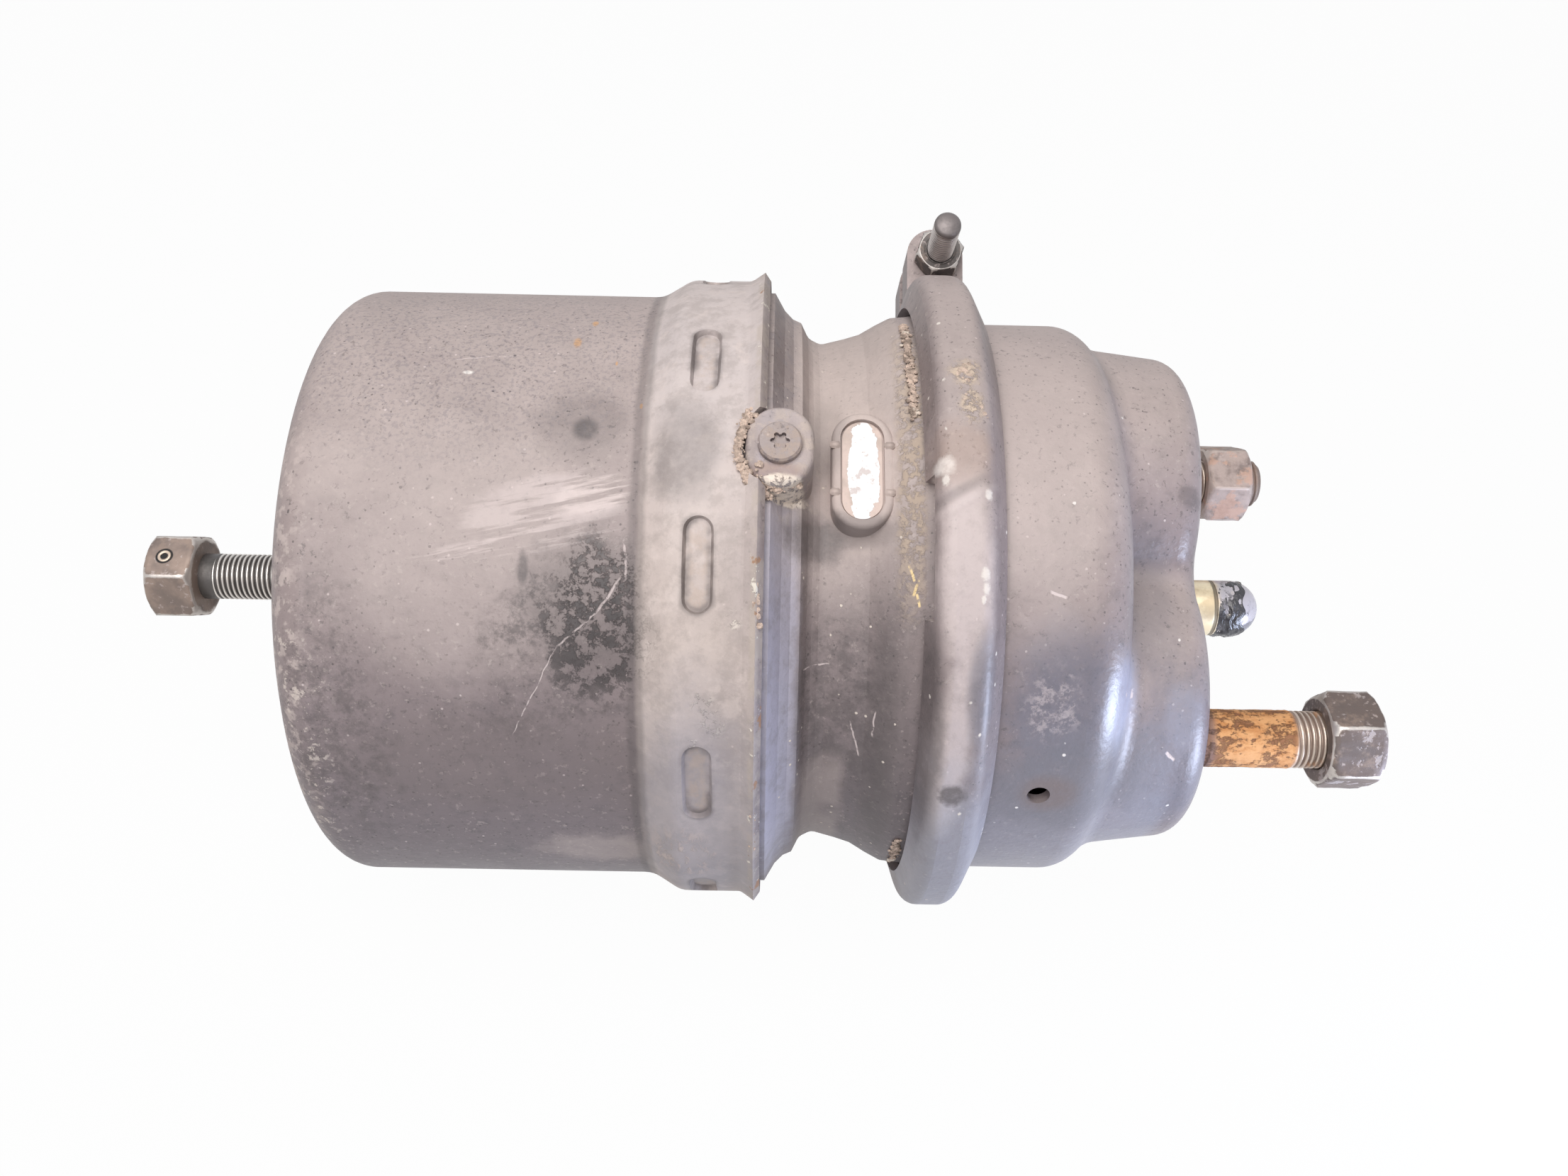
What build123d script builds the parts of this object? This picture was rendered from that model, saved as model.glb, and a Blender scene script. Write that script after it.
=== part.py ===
"""Spring brake actuator for a truck disc brake: a service diaphragm chamber in front, a spring parking chamber
behind it, and a release screw that is wound out to cage the spring.

Millimetres. Origin: centre of the stud circle on the mounting face. +X is the way the pushrod travels,
the studs stand on the Y axis, +Z is up. Angles about X are counted from +Y towards +Z.
"""
import os
from math import cos, hypot, radians, sin

from build123d import *

os.makedirs("parts", exist_ok=True)

# ---- driving dimensions ----
sheet = 3.0                  # pressed steel wall
fit = 0.05                   # radial running clearance
service_stroke = 57.0

# mounting studs, M16 x 1.5
stud_pitch = 120.65
stud_r = 8.0                 # full shank
stud_neck_r = 7.7            # where it passes through the pressed wall
stud_hole_r = 8.1
stud_crest_r = 7.8           # over the worn thread
stud_tip_x = 48.0
stud_thread_x = 24.0
stud_nut_x = 31.5           # on the near stud; the other nut sits a little further on
far_nut_x = 28.6
stud_weld_r = 9.0
stud_plate_thick = 4.0
nut_af = 24.0
nut_height = 14.8

# front housing, a deep pressing with a two-lobed plateau
front_r = 81.8
rim_r = 88.2                 # both rims and the diaphragm bead under the clamp ring
front_rim_x = -68.7
shoulder_x = -26.0           # front of the annular shoulder
shoulder_r = 12.0
plateau_long = 29.3          # lobe centres along the plateau's long axis
plateau_wide = 14.0          # and across it
plateau_r = 40.5             # lobe radius at the mounting face
plateau_waist_r = 9.0
plateau_angle = 40.0
plateau_offset = -1.0         # of its middle, along the long axis
shell_offset = (0, -0.9, -1.07)    # the pressing sits slightly off the rim's centre
plateau_draft = 7.0
plateau_edge_r = 8.0
plateau_foot_r = 7.0
mouth_r = 25.0
drain_x = -47.5
drain_r = 3.0
drain_angle = 179.5

# V clamp ring, split and bolted
clamp_outer_r = 94.3
clamp_back_x = -80.3
clamp_front_x = -60.5
clamp_foot_r = 84.8
clamp_angle = 40.5
clamp_gap = 9.0
ear_width = 17.0
ear_top_r = 109.5
ear_x = -69.6
ear_face = 18.5              # outer face of an ear from the middle of the gap
clamp_bolt_x = -68.8
clamp_bolt_radius = 100.0
clamp_bolt_tip = 43.0
m8_r = 4.0
m8_nut_af = 13.0
m8_nut_height = 6.9

# flange housing, an aluminium casting between the two chambers
flange_back_x = -142.2
flange_fit_r = 88.2
waist_r = 73.6
web_front_x = -104.7
tube_seal_r = 24.0
port_thread_r = 7.2          # M16 x 1.5, over the crests of the thread
port_depth = 15.0
port_boss_r = 13.5
port_face_r = 87.0
service_port_x = -95.2
service_port_angle = -12.0
parking_port_x = -101.2
parking_port_angle = -62.0

# spring housing, the rear pressing, with a wider collar over the casting
spring_r = 86.4
spring_back_x = -250.1
crown_r1, crown_turn1 = 9.5, 65.0
crown_r2, crown_turn2 = 113.0, 25.0
crown_depth = 19.2           # along the axis, of both crown arcs together
collar_r = 91.4
collar_start_x = -150.5
collar_full_x = -142.2
lip_start_x = -125.0
lip_x = -121.2
lip_r = 94.0
dimple_x = -135.2
dimple_length = 22.5
dimple_width = 6.0
dimple_depth = 2.2
dimple_count = 10
dimple_angle = 100.8
bush_r = 11.95               # its neck through the crown
bush_flange_r = 17.0

# release screw, wound out, and what it carries
screw_r = 7.0
screw_head_x = -305.3
screw_head_length = 14.2
screw_head_af = 24.0
pin_r = 2.0
pin_x = screw_head_x + 5.8

# parking piston
tube_r = 20.0
tube_bore_r = 16.5
tube_front_x = -101.3
piston_r = 82.7
power_wire_r = 5.5
power_coil_r = 56.0
power_turns = 4

# service side
diaphragm_thick = 3.0
push_plate_x = -97.0
push_plate_r = 54.0
push_plate_thick = 4.0
rod_r = 8.2
rod_end_r = 8.5
rod_tip_x = 31.8
rod_drop = (0, -2.5, -2.9)    # the loose rod sags to one side of the mouth
return_wire_r = 1.9
return_coil_r = 33.0
return_turns = 5

# details on the casting
lock_x = -116.2
lock_angle = 118.1
lug_r = 8.4
lug_top_r = 92.6
lock_head_r = 5.4
label_x = -95.4
label_angle = 117.9
label_length = 32.5
label_width = 15.5
label_top_r = 80.2


def on_circle(angle, radius, x=0.0):
    """The point at an angle about X."""
    return (x, radius * cos(radians(angle)), radius * sin(radians(angle)))


def facing_out(angle, radius, x):
    """A plane square to a radius: its own X is along +X and its normal points outwards."""
    return Plane(origin=on_circle(angle, radius, x), x_dir=(1, 0, 0), z_dir=on_circle(angle, 1.0))


def across(x, angle=0.0):
    """The plane square to the axis at x: its own X points at an angle about the axis."""
    return Plane(origin=(x, 0, 0), x_dir=on_circle(angle, 1.0), z_dir=(1, 0, 0))


def beside(angle, reach, radius=0.0, x=0.0):
    """A plane square to the circle at an angle: its own X is along +X and its own Y runs outwards."""
    tangent = Vector(0, -sin(radians(angle)), cos(radians(angle)))
    return Plane(origin=Vector(*on_circle(angle, radius, x)) + tangent * reach, x_dir=(1, 0, 0), z_dir=tangent)


def finish(part, name):
    """Label a finished piece and write it."""
    part.label = name
    export_step(part, f"parts/{name}.step")


def ring(outer_r, inner_r, back_x, front_x, mode=Mode.ADD):
    """Add a plain ring about the axis to the part that is being built, or take it away."""
    with BuildPart() as made:
        with BuildSketch(across(back_x)):
            Circle(outer_r)
            if inner_r:
                Circle(inner_r, mode=Mode.SUBTRACT)
        extrude(amount=front_x - back_x)
    add(made.part, mode=mode)


def turned(*points, mode=Mode.ADD):
    """The same with a shape turned about the axis from its (x, radius) corners."""
    with BuildPart() as made:
        with BuildSketch(Plane.XY):
            with BuildLine():
                Polyline(*points, close=True)
            make_face()
        revolve(axis=Axis.X)
    add(made.part, mode=mode)


def hexagon(plane, af, height, turn=0.0):
    """Add a hexagonal block standing on a plane, with both ends chamfered at 30 degrees."""
    with BuildPart() as made:
        with BuildSketch(plane):
            RegularPolygon(af / 2, 6, major_radius=False, rotation=turn)
        extrude(amount=height)
        for end, way in ((plane, 1), (plane.offset(height), -1)):
            with BuildSketch(end):
                Circle(af * 0.475)
            extrude(amount=way * height, taper=-60, mode=Mode.INTERSECT)
    add(made.part)


def coil(back_x, front_x, radius, wire_r, turns):
    """Add a helical spring about the axis, fitting between two faces."""
    length = front_x - back_x - 2 * wire_r
    with BuildPart() as made:
        with BuildLine():
            path = Helix(length / turns, length, radius, center=(back_x + wire_r, 0, 0), direction=(1, 0, 0))
        with BuildSketch(Plane(origin=path @ 0, z_dir=path % 0)):
            Circle(wire_r)
        sweep(is_frenet=True)
    add(made.part)


# ---- front housing ----
def front_form(inset):
    """The pressing's outer form, or the form of its inside when inset by the wall."""
    back = front_rim_x - inset
    front, r, corner = shoulder_x - inset, front_r - inset, shoulder_r - inset
    with BuildPart() as form:
        with BuildSketch(Plane.XY):
            with BuildLine():
                Polyline((front - corner, r), (back, r), (back, 0), (front, 0), (front, r - corner))
                RadiusArc((front - corner, r), (front, r - corner), corner)
            make_face()
        revolve(axis=Axis.X)
        with BuildSketch(across(-inset, plateau_angle)) as outline:
            for side in (-1, 1):
                with Locations((plateau_offset + side * plateau_long, 0)):
                    SlotCenterToCenter(2 * plateau_wide, 2 * (plateau_r - inset), rotation=90)
            fillet([v for v in outline.vertices() if abs(v.X - plateau_offset) < 0.01], plateau_waist_r)
        extrude(amount=-30, taper=-plateau_draft)
        rims = form.edges().filter_by_position(Axis.X, front - 8, front + 0.1)
        foot = [e for e in rims if abs(hypot((e @ 0.5).Y, (e @ 0.5).Z) - (r - corner)) > 0.1]
        fillet(foot, plateau_foot_r + inset)
        fillet(form.faces().sort_by(Axis.X)[-1].outer_wire().edges(), plateau_edge_r - inset)
    return form.part


with BuildPart() as front_housing:
    with Locations(shell_offset):
        add(front_form(0))
    with BuildSketch(Plane.XY):
        with BuildLine():
            Polyline(
                (front_rim_x, front_r - 2), (front_rim_x, rim_r), (front_rim_x + 2.5, rim_r),
                (front_rim_x + 5.2, front_r), (front_rim_x + 5.2, front_r - 2), close=True,
            )
        make_face()
    revolve(axis=Axis.X)
    with Locations(shell_offset):
        add(front_form(sheet), mode=Mode.SUBTRACT)
    with BuildSketch(across(-10)):
        Circle(mouth_r)
        with PolarLocations(stud_pitch / 2, 2):
            Circle(stud_hole_r)
    extrude(amount=20, mode=Mode.SUBTRACT)
    for angle in (drain_angle, drain_angle + 180):
        with BuildSketch(facing_out(angle, front_r - 10, drain_x)):
            Circle(drain_r)
        extrude(amount=20, mode=Mode.SUBTRACT)
finish(front_housing.part, "front_housing")


# ---- mounting studs, their plate and nuts ----
with BuildPart() as stud_plate:
    with BuildSketch(across(-sheet - fit)):
        with PolarLocations(stud_pitch / 2, 2):
            Circle(14)
        Circle(38)
        make_hull()
        Circle(mouth_r + 2.5, mode=Mode.SUBTRACT)
        with PolarLocations(stud_pitch / 2, 2):
            Circle(stud_neck_r + fit, mode=Mode.SUBTRACT)
    extrude(amount=-stud_plate_thick)
    with Locations(shell_offset):
        add(front_form(sheet + fit), mode=Mode.INTERSECT)
finish(stud_plate.part, "stud_plate")

stud_weld_x = -sheet - stud_plate_thick - 2 * fit
with BuildPart() as mounting_studs:
    with BuildSketch(across(stud_weld_x - 2)):
        with PolarLocations(stud_pitch / 2, 2):
            Circle(stud_weld_r)
    extrude(amount=2)
    with Locations(shell_offset):
        add(front_form(sheet + fit), mode=Mode.INTERSECT)
    for back, front, r in (
        (stud_weld_x, 0.3, stud_neck_r), (0.3, stud_thread_x, stud_r), (stud_thread_x, stud_tip_x, stud_crest_r),
    ):
        with BuildSketch(across(back)):
            with PolarLocations(stud_pitch / 2, 2):
                Circle(r)
        extrude(amount=front - back)
    chamfer(mounting_studs.edges().filter_by_position(Axis.X, stud_tip_x - 0.1, stud_tip_x + 0.1), 1.4)
finish(mounting_studs.part, "mounting_studs")

with BuildPart() as stud_nuts:
    for side, x, turn in ((-1, stud_nut_x, 0), (1, far_nut_x, 32)):
        hexagon(Plane(origin=(x, side * stud_pitch / 2, 0), x_dir=(0, 1, 0), z_dir=(1, 0, 0)), nut_af, nut_height, turn)
    with BuildSketch(across(far_nut_x - 1)):
        with PolarLocations(stud_pitch / 2, 2):
            Circle(stud_crest_r + fit)
    extrude(amount=nut_height + 5, mode=Mode.SUBTRACT)
finish(stud_nuts.part, "stud_nuts")


# ---- V clamp ring with its bolt ----
with BuildPart() as clamp_ring:
    for side in (-1, 1):
        with BuildSketch(beside(clamp_angle, side * clamp_gap / 2)) as ear:
            with Locations((ear_x, clamp_foot_r)):
                Rectangle(ear_width, ear_top_r - clamp_foot_r, align=(Align.CENTER, Align.MIN))
            fillet(ear.vertices().group_by(Axis.Y)[-1], 8)
        extrude(amount=side * (ear_face - clamp_gap / 2))
    turned(
        (-77.77, 60), (-77.77, 82), (-74.97, 91.3), (-67.4, 91.3), (-62.9, 82), (-62.9, 60), mode=Mode.SUBTRACT,
    )
    with BuildSketch(Plane.XY):
        with BuildLine():
            FilletPolyline(
                (clamp_back_x, clamp_foot_r), (clamp_back_x + 3.1, clamp_outer_r),
                (clamp_front_x - 5, clamp_outer_r), (clamp_front_x, clamp_foot_r), radius=4.5,
            )
            offset(amount=sheet, side=Side.RIGHT)
        make_face()
    revolve(axis=Axis.X)
    with BuildSketch(facing_out(clamp_angle, 70, ear_x)):
        Rectangle(40, clamp_gap)
    extrude(amount=50, mode=Mode.SUBTRACT)
    with BuildSketch(beside(clamp_angle, -30, clamp_bolt_radius, clamp_bolt_x)):
        Circle(m8_r + 0.3)
    extrude(amount=60, mode=Mode.SUBTRACT)
    with BuildSketch(beside(121.8, 0)):
        with Locations((clamp_back_x, clamp_foot_r)):
            Rectangle(6, 10)
    revolve(axis=Axis.X, revolution_arc=23, mode=Mode.SUBTRACT)
finish(clamp_ring.part, "clamp_ring")

with BuildPart() as clamp_bolt:
    hexagon(beside(clamp_angle, -ear_face - 5.35, clamp_bolt_radius, clamp_bolt_x), m8_nut_af, 5.3, 10)
    with BuildSketch(beside(clamp_angle, -ear_face - 1, clamp_bolt_radius, clamp_bolt_x)):
        Circle(m8_r)
    extrude(amount=clamp_bolt_tip + ear_face + 1)
    tip = clamp_bolt.faces().sort_by(Axis((0, 0, 0), beside(clamp_angle, 0).z_dir))[-1]
    chamfer(tip.edges(), 0.9)
finish(clamp_bolt.part, "clamp_bolt")

with BuildPart() as clamp_nut:
    hexagon(beside(clamp_angle, ear_face + fit, clamp_bolt_radius, clamp_bolt_x), m8_nut_af, m8_nut_height, 10)
    with BuildSketch(beside(clamp_angle, ear_face - 1, clamp_bolt_radius, clamp_bolt_x)):
        Circle(m8_r + fit)
    extrude(amount=m8_nut_height + 3, mode=Mode.SUBTRACT)
finish(clamp_nut.part, "clamp_nut")


# ---- flange housing ----
with BuildPart() as flange_housing:
    turned(
        (flange_back_x, 0), (flange_back_x, 85.8), (flange_back_x + 3, flange_fit_r), (-118.2, flange_fit_r),
        (-115.3, 83.2), (-112.9, 80.8), (-110.5, 79.8), (-108.3, 75.4), (-104.7, waist_r), (-97.7, 75.4),
        (-93.2, 76.8), (-88.7, 79.5), (-84.3, 81.8), (-79.7, 82.2), (-77.45, 82.7), (-75.8, rim_r), (-71.9, rim_r), (-71.9, 0),
    )
    bends = flange_housing.edges().filter_by(GeomType.CIRCLE)
    soft = [e for e in bends if any(abs(e.center().X - x) < 0.1 for x in (-108.3, -104.7, -97.7, -88.7, -84.3))]
    fillet(soft, 3.0)
    for x, angle in ((service_port_x, service_port_angle), (parking_port_x, parking_port_angle)):
        with BuildSketch(facing_out(angle, 60, x)):
            Circle(port_boss_r)
        extrude(amount=port_face_r - 60)
    with BuildSketch(facing_out(lock_angle, 60, lock_x)):
        SlotCenterToCenter(4.5, 2 * lug_r, rotation=90)
    extrude(amount=lug_top_r - 60)
    with BuildSketch(facing_out(label_angle, 60, label_x)):
        SlotOverall(label_length, label_width, rotation=90)
    extrude(amount=label_top_r - 60)
    rounded = flange_housing.faces().filter_by(
        lambda f: f.geom_type == GeomType.PLANE and hypot(f.center().Y, f.center().Z) > 75 and abs(f.normal_at().X) < 0.1
    )
    fillet([e for f in rounded for e in f.edges()], 1.5)
    with BuildSketch(facing_out(label_angle, label_top_r - 1.5, label_x)):
        SlotOverall(label_length - 4.4, label_width - 4.4, rotation=90)
    extrude(amount=5, mode=Mode.SUBTRACT)
    turned(
        (-143.7, 0), (-143.7, 83.5), (-136.7, 82.5), (-123.7, 79), (-116.7, 72), (-116.7, 34), (-123.7, 31), (-123.7, 0),
        mode=Mode.SUBTRACT,
    )
    turned(
        (-71.7, 0), (-71.7, 80.8), (-98.7, 68.3), (-104.7, 62), (web_front_x, 30), (-102.7, 28), (-102.7, 0),
        mode=Mode.SUBTRACT,
    )
    ring(tube_seal_r, 0, -124.7, -104.2, mode=Mode.SUBTRACT)
    ring(tube_r + 0.6, 0, -104.7, -101.7, mode=Mode.SUBTRACT)
    ring(tube_seal_r + 1, 0, -122.8, -121.2, mode=Mode.SUBTRACT)
    for back, front, bottom in ((-139.2, -131.2, 85.6), (-124.2, -120.8, 85.6)):
        ring(flange_fit_r + 1, bottom, back, front, mode=Mode.SUBTRACT)
    for x, angle in ((service_port_x, service_port_angle), (parking_port_x, parking_port_angle)):
        with BuildSketch(facing_out(angle, port_face_r - port_depth, x)):
            Circle(port_thread_r)
        extrude(amount=port_depth + 5, mode=Mode.SUBTRACT)
    with BuildSketch(facing_out(service_port_angle, 60, service_port_x)):
        Circle(3)
    extrude(amount=15, mode=Mode.SUBTRACT)
    with BuildSketch(across(parking_port_x, parking_port_angle)):
        with Locations((port_face_r - port_depth + 3.5, 0)):
            Circle(3)
    extrude(amount=-25, mode=Mode.SUBTRACT)
    with BuildSketch(facing_out(lock_angle, 82, lock_x)):
        Circle(2.5)
    extrude(amount=20, mode=Mode.SUBTRACT)
finish(flange_housing.part, "flange_housing")

with BuildPart() as nameplate:
    with BuildSketch(facing_out(label_angle, label_top_r - 1.5 + fit, label_x)):
        SlotOverall(label_length - 5.4, label_width - 5.4, rotation=90)
    extrude(amount=0.6)
finish(nameplate.part, "nameplate")

with BuildPart() as lock_screw:
    with BuildSketch(facing_out(lock_angle, 82.5, lock_x)):
        Circle(2.45)
    extrude(amount=lug_top_r - 82)
    with BuildSketch(facing_out(lock_angle, lug_top_r + fit, lock_x)):
        Circle(lock_head_r)
    extrude(amount=1.9)
    chamfer(lock_screw.faces().sort_by(Axis((0, 0, 0), on_circle(lock_angle, 1)))[-1].edges(), 0.5)
    with BuildSketch(facing_out(lock_angle, lug_top_r + 0.7, lock_x)):
        Circle(1.7)
        with PolarLocations(1.75, 6):
            Circle(0.62)
    extrude(amount=4, mode=Mode.SUBTRACT)
finish(lock_screw.part, "lock_screw")

with BuildPart() as flange_o_ring:
    ring(88.3, 85.7, -123.9, -121.1)
finish(flange_o_ring.part, "flange_o_ring")

with BuildPart() as tube_seal_front:
    ring(tube_seal_r - fit, tube_r + 0.3, -107.9, -104.4)
finish(tube_seal_front.part, "tube_seal_front")

with BuildPart() as tube_guide_bush:
    ring(tube_seal_r - fit, tube_r + fit, -117.5, -108.1)
finish(tube_guide_bush.part, "tube_guide_bush")

with BuildPart() as tube_seal_rear:
    ring(tube_seal_r - fit, tube_r + 0.3, -121, -117.7)
finish(tube_seal_rear.part, "tube_seal_rear")

with BuildPart() as seal_circlip:
    with BuildSketch(across(-122.7)):
        Circle(tube_seal_r + 0.9)
        Circle(tube_seal_r - 2.2, mode=Mode.SUBTRACT)
        with Locations((0, -tube_seal_r)):
            Rectangle(8, 8, mode=Mode.SUBTRACT)
    extrude(amount=1.4)
finish(seal_circlip.part, "seal_circlip")


# ---- spring housing ----
with BuildPart() as spring_housing:
    with BuildSketch(Plane.XY):
        with BuildLine():
            collar = FilletPolyline(
                (lip_x, lip_r), (lip_start_x, collar_r), (collar_full_x, collar_r), (collar_start_x, spring_r),
                (-200, spring_r), radius=(3, 7, 9),
            )
            side_line = Line(collar @ 1, (spring_back_x + crown_depth, spring_r))
            knuckle = JernArc(side_line @ 1, side_line % 1, crown_r1, crown_turn1)
            crown = JernArc(knuckle @ 1, knuckle % 1, crown_r2, crown_turn2)
            Line(crown @ 1, ((crown @ 1).X, bush_r + fit))
            offset(amount=sheet, side=Side.LEFT)
        make_face()
    revolve(axis=Axis.X)
    for n in range(dimple_count):
        angle = dimple_angle + n * 360 / dimple_count
        with BuildSketch(facing_out(angle, collar_r - dimple_depth, dimple_x)):
            SlotOverall(dimple_length, dimple_width, rotation=90)
        extrude(amount=8, taper=-20, mode=Mode.SUBTRACT)
    with BuildSketch(facing_out(lock_angle, 80, lock_x)):
        SlotCenterToCenter(4.5, 2 * lug_r + 1.2, rotation=90)
    extrude(amount=20, mode=Mode.SUBTRACT)
finish(spring_housing.part, "spring_housing")

with BuildPart() as release_bush:
    ring(bush_r, screw_r + fit, spring_back_x - 1.6, spring_back_x + sheet + fit)
    ring(bush_flange_r, screw_r + fit, spring_back_x + sheet + fit, spring_back_x + 13)
finish(release_bush.part, "release_bush")

with BuildPart() as power_spring:
    coil(-243.6, -185.2, power_coil_r, power_wire_r, power_turns)
finish(power_spring.part, "power_spring")


# ---- parking piston ----
with BuildPart() as piston:
    turned(
        (-203, 76), (-203, piston_r), (-192, piston_r), (-192, 77), (-180, 72.5), (-180, 7.5), (-185, 7.5), (-185, 67.5),
    )
    ring(piston_r + 1, 79.5, -197, -193.5, mode=Mode.SUBTRACT)
    ring(piston_r + 1, 81, -201.5, -198.5, mode=Mode.SUBTRACT)
finish(piston.part, "piston")

with BuildPart() as piston_tube:
    ring(tube_r, tube_bore_r, -179.95, tube_front_x - 3.4)
finish(piston_tube.part, "piston_tube")

with BuildPart() as tube_end_plug:
    ring(tube_bore_r - fit, 0, tube_front_x - 9, tube_front_x - 3.35)
    ring(tube_r, 0, tube_front_x - 3.35, tube_front_x)
finish(tube_end_plug.part, "tube_end_plug")

with BuildPart() as piston_seal:
    ring(83.1, 79.6, -196.9, -193.6)
finish(piston_seal.part, "piston_seal")

with BuildPart() as piston_guide_ring:
    ring(83.3, 81.1, -201.4, -198.6)
finish(piston_guide_ring.part, "piston_guide_ring")


# ---- release screw ----
with BuildPart() as release_screw:
    ring(screw_r, 0, screw_head_x + screw_head_length - 3, -180)
    ring(6, 0, -180, -171)
finish(release_screw.part, "release_screw")

with BuildPart() as release_hex:
    hexagon(across(screw_head_x, 81.3), screw_head_af, screw_head_length)
    ring(screw_r + fit, 0, screw_head_x + screw_head_length - 3 - fit, screw_head_x + 20, mode=Mode.SUBTRACT)
    with BuildSketch(facing_out(111.3, -20, pin_x)):
        Circle(pin_r + fit)
    extrude(amount=40, mode=Mode.SUBTRACT)
finish(release_hex.part, "release_hex")

with BuildPart() as hex_pin:
    with BuildSketch(facing_out(111.3, -11.6, pin_x)):
        Circle(pin_r)
        Circle(pin_r / 2, mode=Mode.SUBTRACT)
    extrude(amount=23.2)
finish(hex_pin.part, "hex_pin")

with BuildPart() as thrust_ring:
    ring(15.8, 6.05, -179.95, -175.9)
finish(thrust_ring.part, "thrust_ring")

with BuildPart() as retaining_ring:
    ring(9.5, 6.02, -175.85, -173.8)
finish(retaining_ring.part, "retaining_ring")


# ---- service side ----
with BuildPart() as diaphragm:
    with BuildSketch(Plane.XY):
        with BuildLine():
            FilletPolyline((-71.8, 88.1), (-71.8, 78.4), (-97.7, 65.0), (-100.6, 56.0), (-100.6, 0), radius=5)
            offset(amount=diaphragm_thick, side=Side.LEFT)
        make_face()
    revolve(axis=Axis.X)
finish(diaphragm.part, "diaphragm")

with BuildPart() as push_plate:
    with BuildSketch(across(push_plate_x)):
        with Locations(rod_drop[1:]):
            Circle(push_plate_r)
    extrude(amount=push_plate_thick)
    fillet(push_plate.edges(), 1.6)
finish(push_plate.part, "push_plate")

with BuildPart() as pushrod:
    rod_foot_x = push_plate_x + push_plate_thick
    for back, front, r in ((rod_foot_x, rod_foot_x + 4.3, rod_r + 1.3), (rod_foot_x + 4.3, 1.0, rod_r)):
        with BuildSketch(across(back)):
            with Locations(rod_drop[1:]):
                Circle(r)
        extrude(amount=front - back)
finish(pushrod.part, "pushrod")

with BuildPart() as rod_end:
    with BuildSketch(across(1.0)):
        with Locations(rod_drop[1:]):
            Circle(rod_end_r)
    extrude(amount=rod_tip_x - rod_end_r - 1.0)
    with Locations(Vector(rod_tip_x - rod_end_r, rod_drop[1], rod_drop[2])):
        Sphere(rod_end_r)
finish(rod_end.part, "rod_end")

with BuildPart() as return_spring:
    coil(push_plate_x + push_plate_thick + 0.1, -7.3, return_coil_r, return_wire_r, return_turns)
finish(return_spring.part, "return_spring")

folds = ((-0.4, 24.8), (-7, 24.8), (-9.5, 17), (-14, 22.5), (-18.5, 14), (-23, 19.5), (-28, rod_r + 1.7), (-37, rod_r + 1.7))
with BuildPart() as bellows:
    for wall, mode in ((0, Mode.ADD), (1.4, Mode.SUBTRACT)):
        for x, r in folds:
            lean = min(max(-x - 7, 0) / 21, 1)
            with BuildSketch(across(x)):
                with Locations((rod_drop[1] * lean, rod_drop[2] * lean)):
                    Circle(r - wall)
        loft(ruled=True, mode=mode)
finish(bellows.part, "bellows")

with BuildPart() as bellows_clip:
    with BuildSketch(across(-35.5)):
        with Locations(rod_drop[1:]):
            Circle(rod_r + 3)
            Circle(rod_r + 1.75, mode=Mode.SUBTRACT)
    extrude(amount=3)
finish(bellows_clip.part, "bellows_clip")
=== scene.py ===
import math
import random

import bmesh
import bpy
from bpy.props import FloatProperty, FloatVectorProperty, IntProperty, PointerProperty
from mathutils import Matrix, Vector, noise


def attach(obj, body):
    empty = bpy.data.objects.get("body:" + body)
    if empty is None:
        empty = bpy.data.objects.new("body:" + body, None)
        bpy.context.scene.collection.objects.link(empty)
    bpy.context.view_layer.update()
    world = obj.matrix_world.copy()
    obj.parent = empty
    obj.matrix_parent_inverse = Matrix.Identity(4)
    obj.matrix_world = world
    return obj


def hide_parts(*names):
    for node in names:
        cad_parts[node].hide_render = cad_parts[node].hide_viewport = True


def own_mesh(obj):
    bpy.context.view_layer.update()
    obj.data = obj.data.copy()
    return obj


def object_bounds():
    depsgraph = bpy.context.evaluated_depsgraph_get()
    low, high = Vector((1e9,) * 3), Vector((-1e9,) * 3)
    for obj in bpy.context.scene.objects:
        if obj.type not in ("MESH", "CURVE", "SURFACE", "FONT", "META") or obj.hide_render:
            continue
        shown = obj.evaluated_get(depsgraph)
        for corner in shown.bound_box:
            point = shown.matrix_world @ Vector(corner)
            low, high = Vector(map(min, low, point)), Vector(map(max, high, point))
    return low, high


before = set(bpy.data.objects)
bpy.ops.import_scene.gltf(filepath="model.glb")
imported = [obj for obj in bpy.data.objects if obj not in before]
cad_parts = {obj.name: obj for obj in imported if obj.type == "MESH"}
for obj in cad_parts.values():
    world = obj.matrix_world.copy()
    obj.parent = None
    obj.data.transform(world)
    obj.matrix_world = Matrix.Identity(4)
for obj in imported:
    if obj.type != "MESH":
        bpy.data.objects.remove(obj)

bl_info = {
    "name": "Spring brake chamber",
    "version": (1, 0, 0),
    "blender": (4, 5, 0),
    "location": "3D View > Sidebar > Brake chamber",
    "description": "Dresses the packed brake chamber: paint, rust, threads, road dirt, grease and a studio",
    "category": "Object",
}

MM = 0.001
CAD_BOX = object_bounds()

# Stations along the axis and radii are in millimetres, and angles in degrees about the axis from +Y towards +Z.
NEAR_ANGLE = 140.0                          # the side that lies uppermost
HOUSING_RADIUS = 86.0
COLLAR_RADIUS = 91.4
FLANGE_RADIUS = 90.0
WAIST_RADIUS = 76.0
RING_RADIUS = 94.3
FRONT_RADIUS = 82.0
PLATEAU_RADIUS = 66.0

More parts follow.
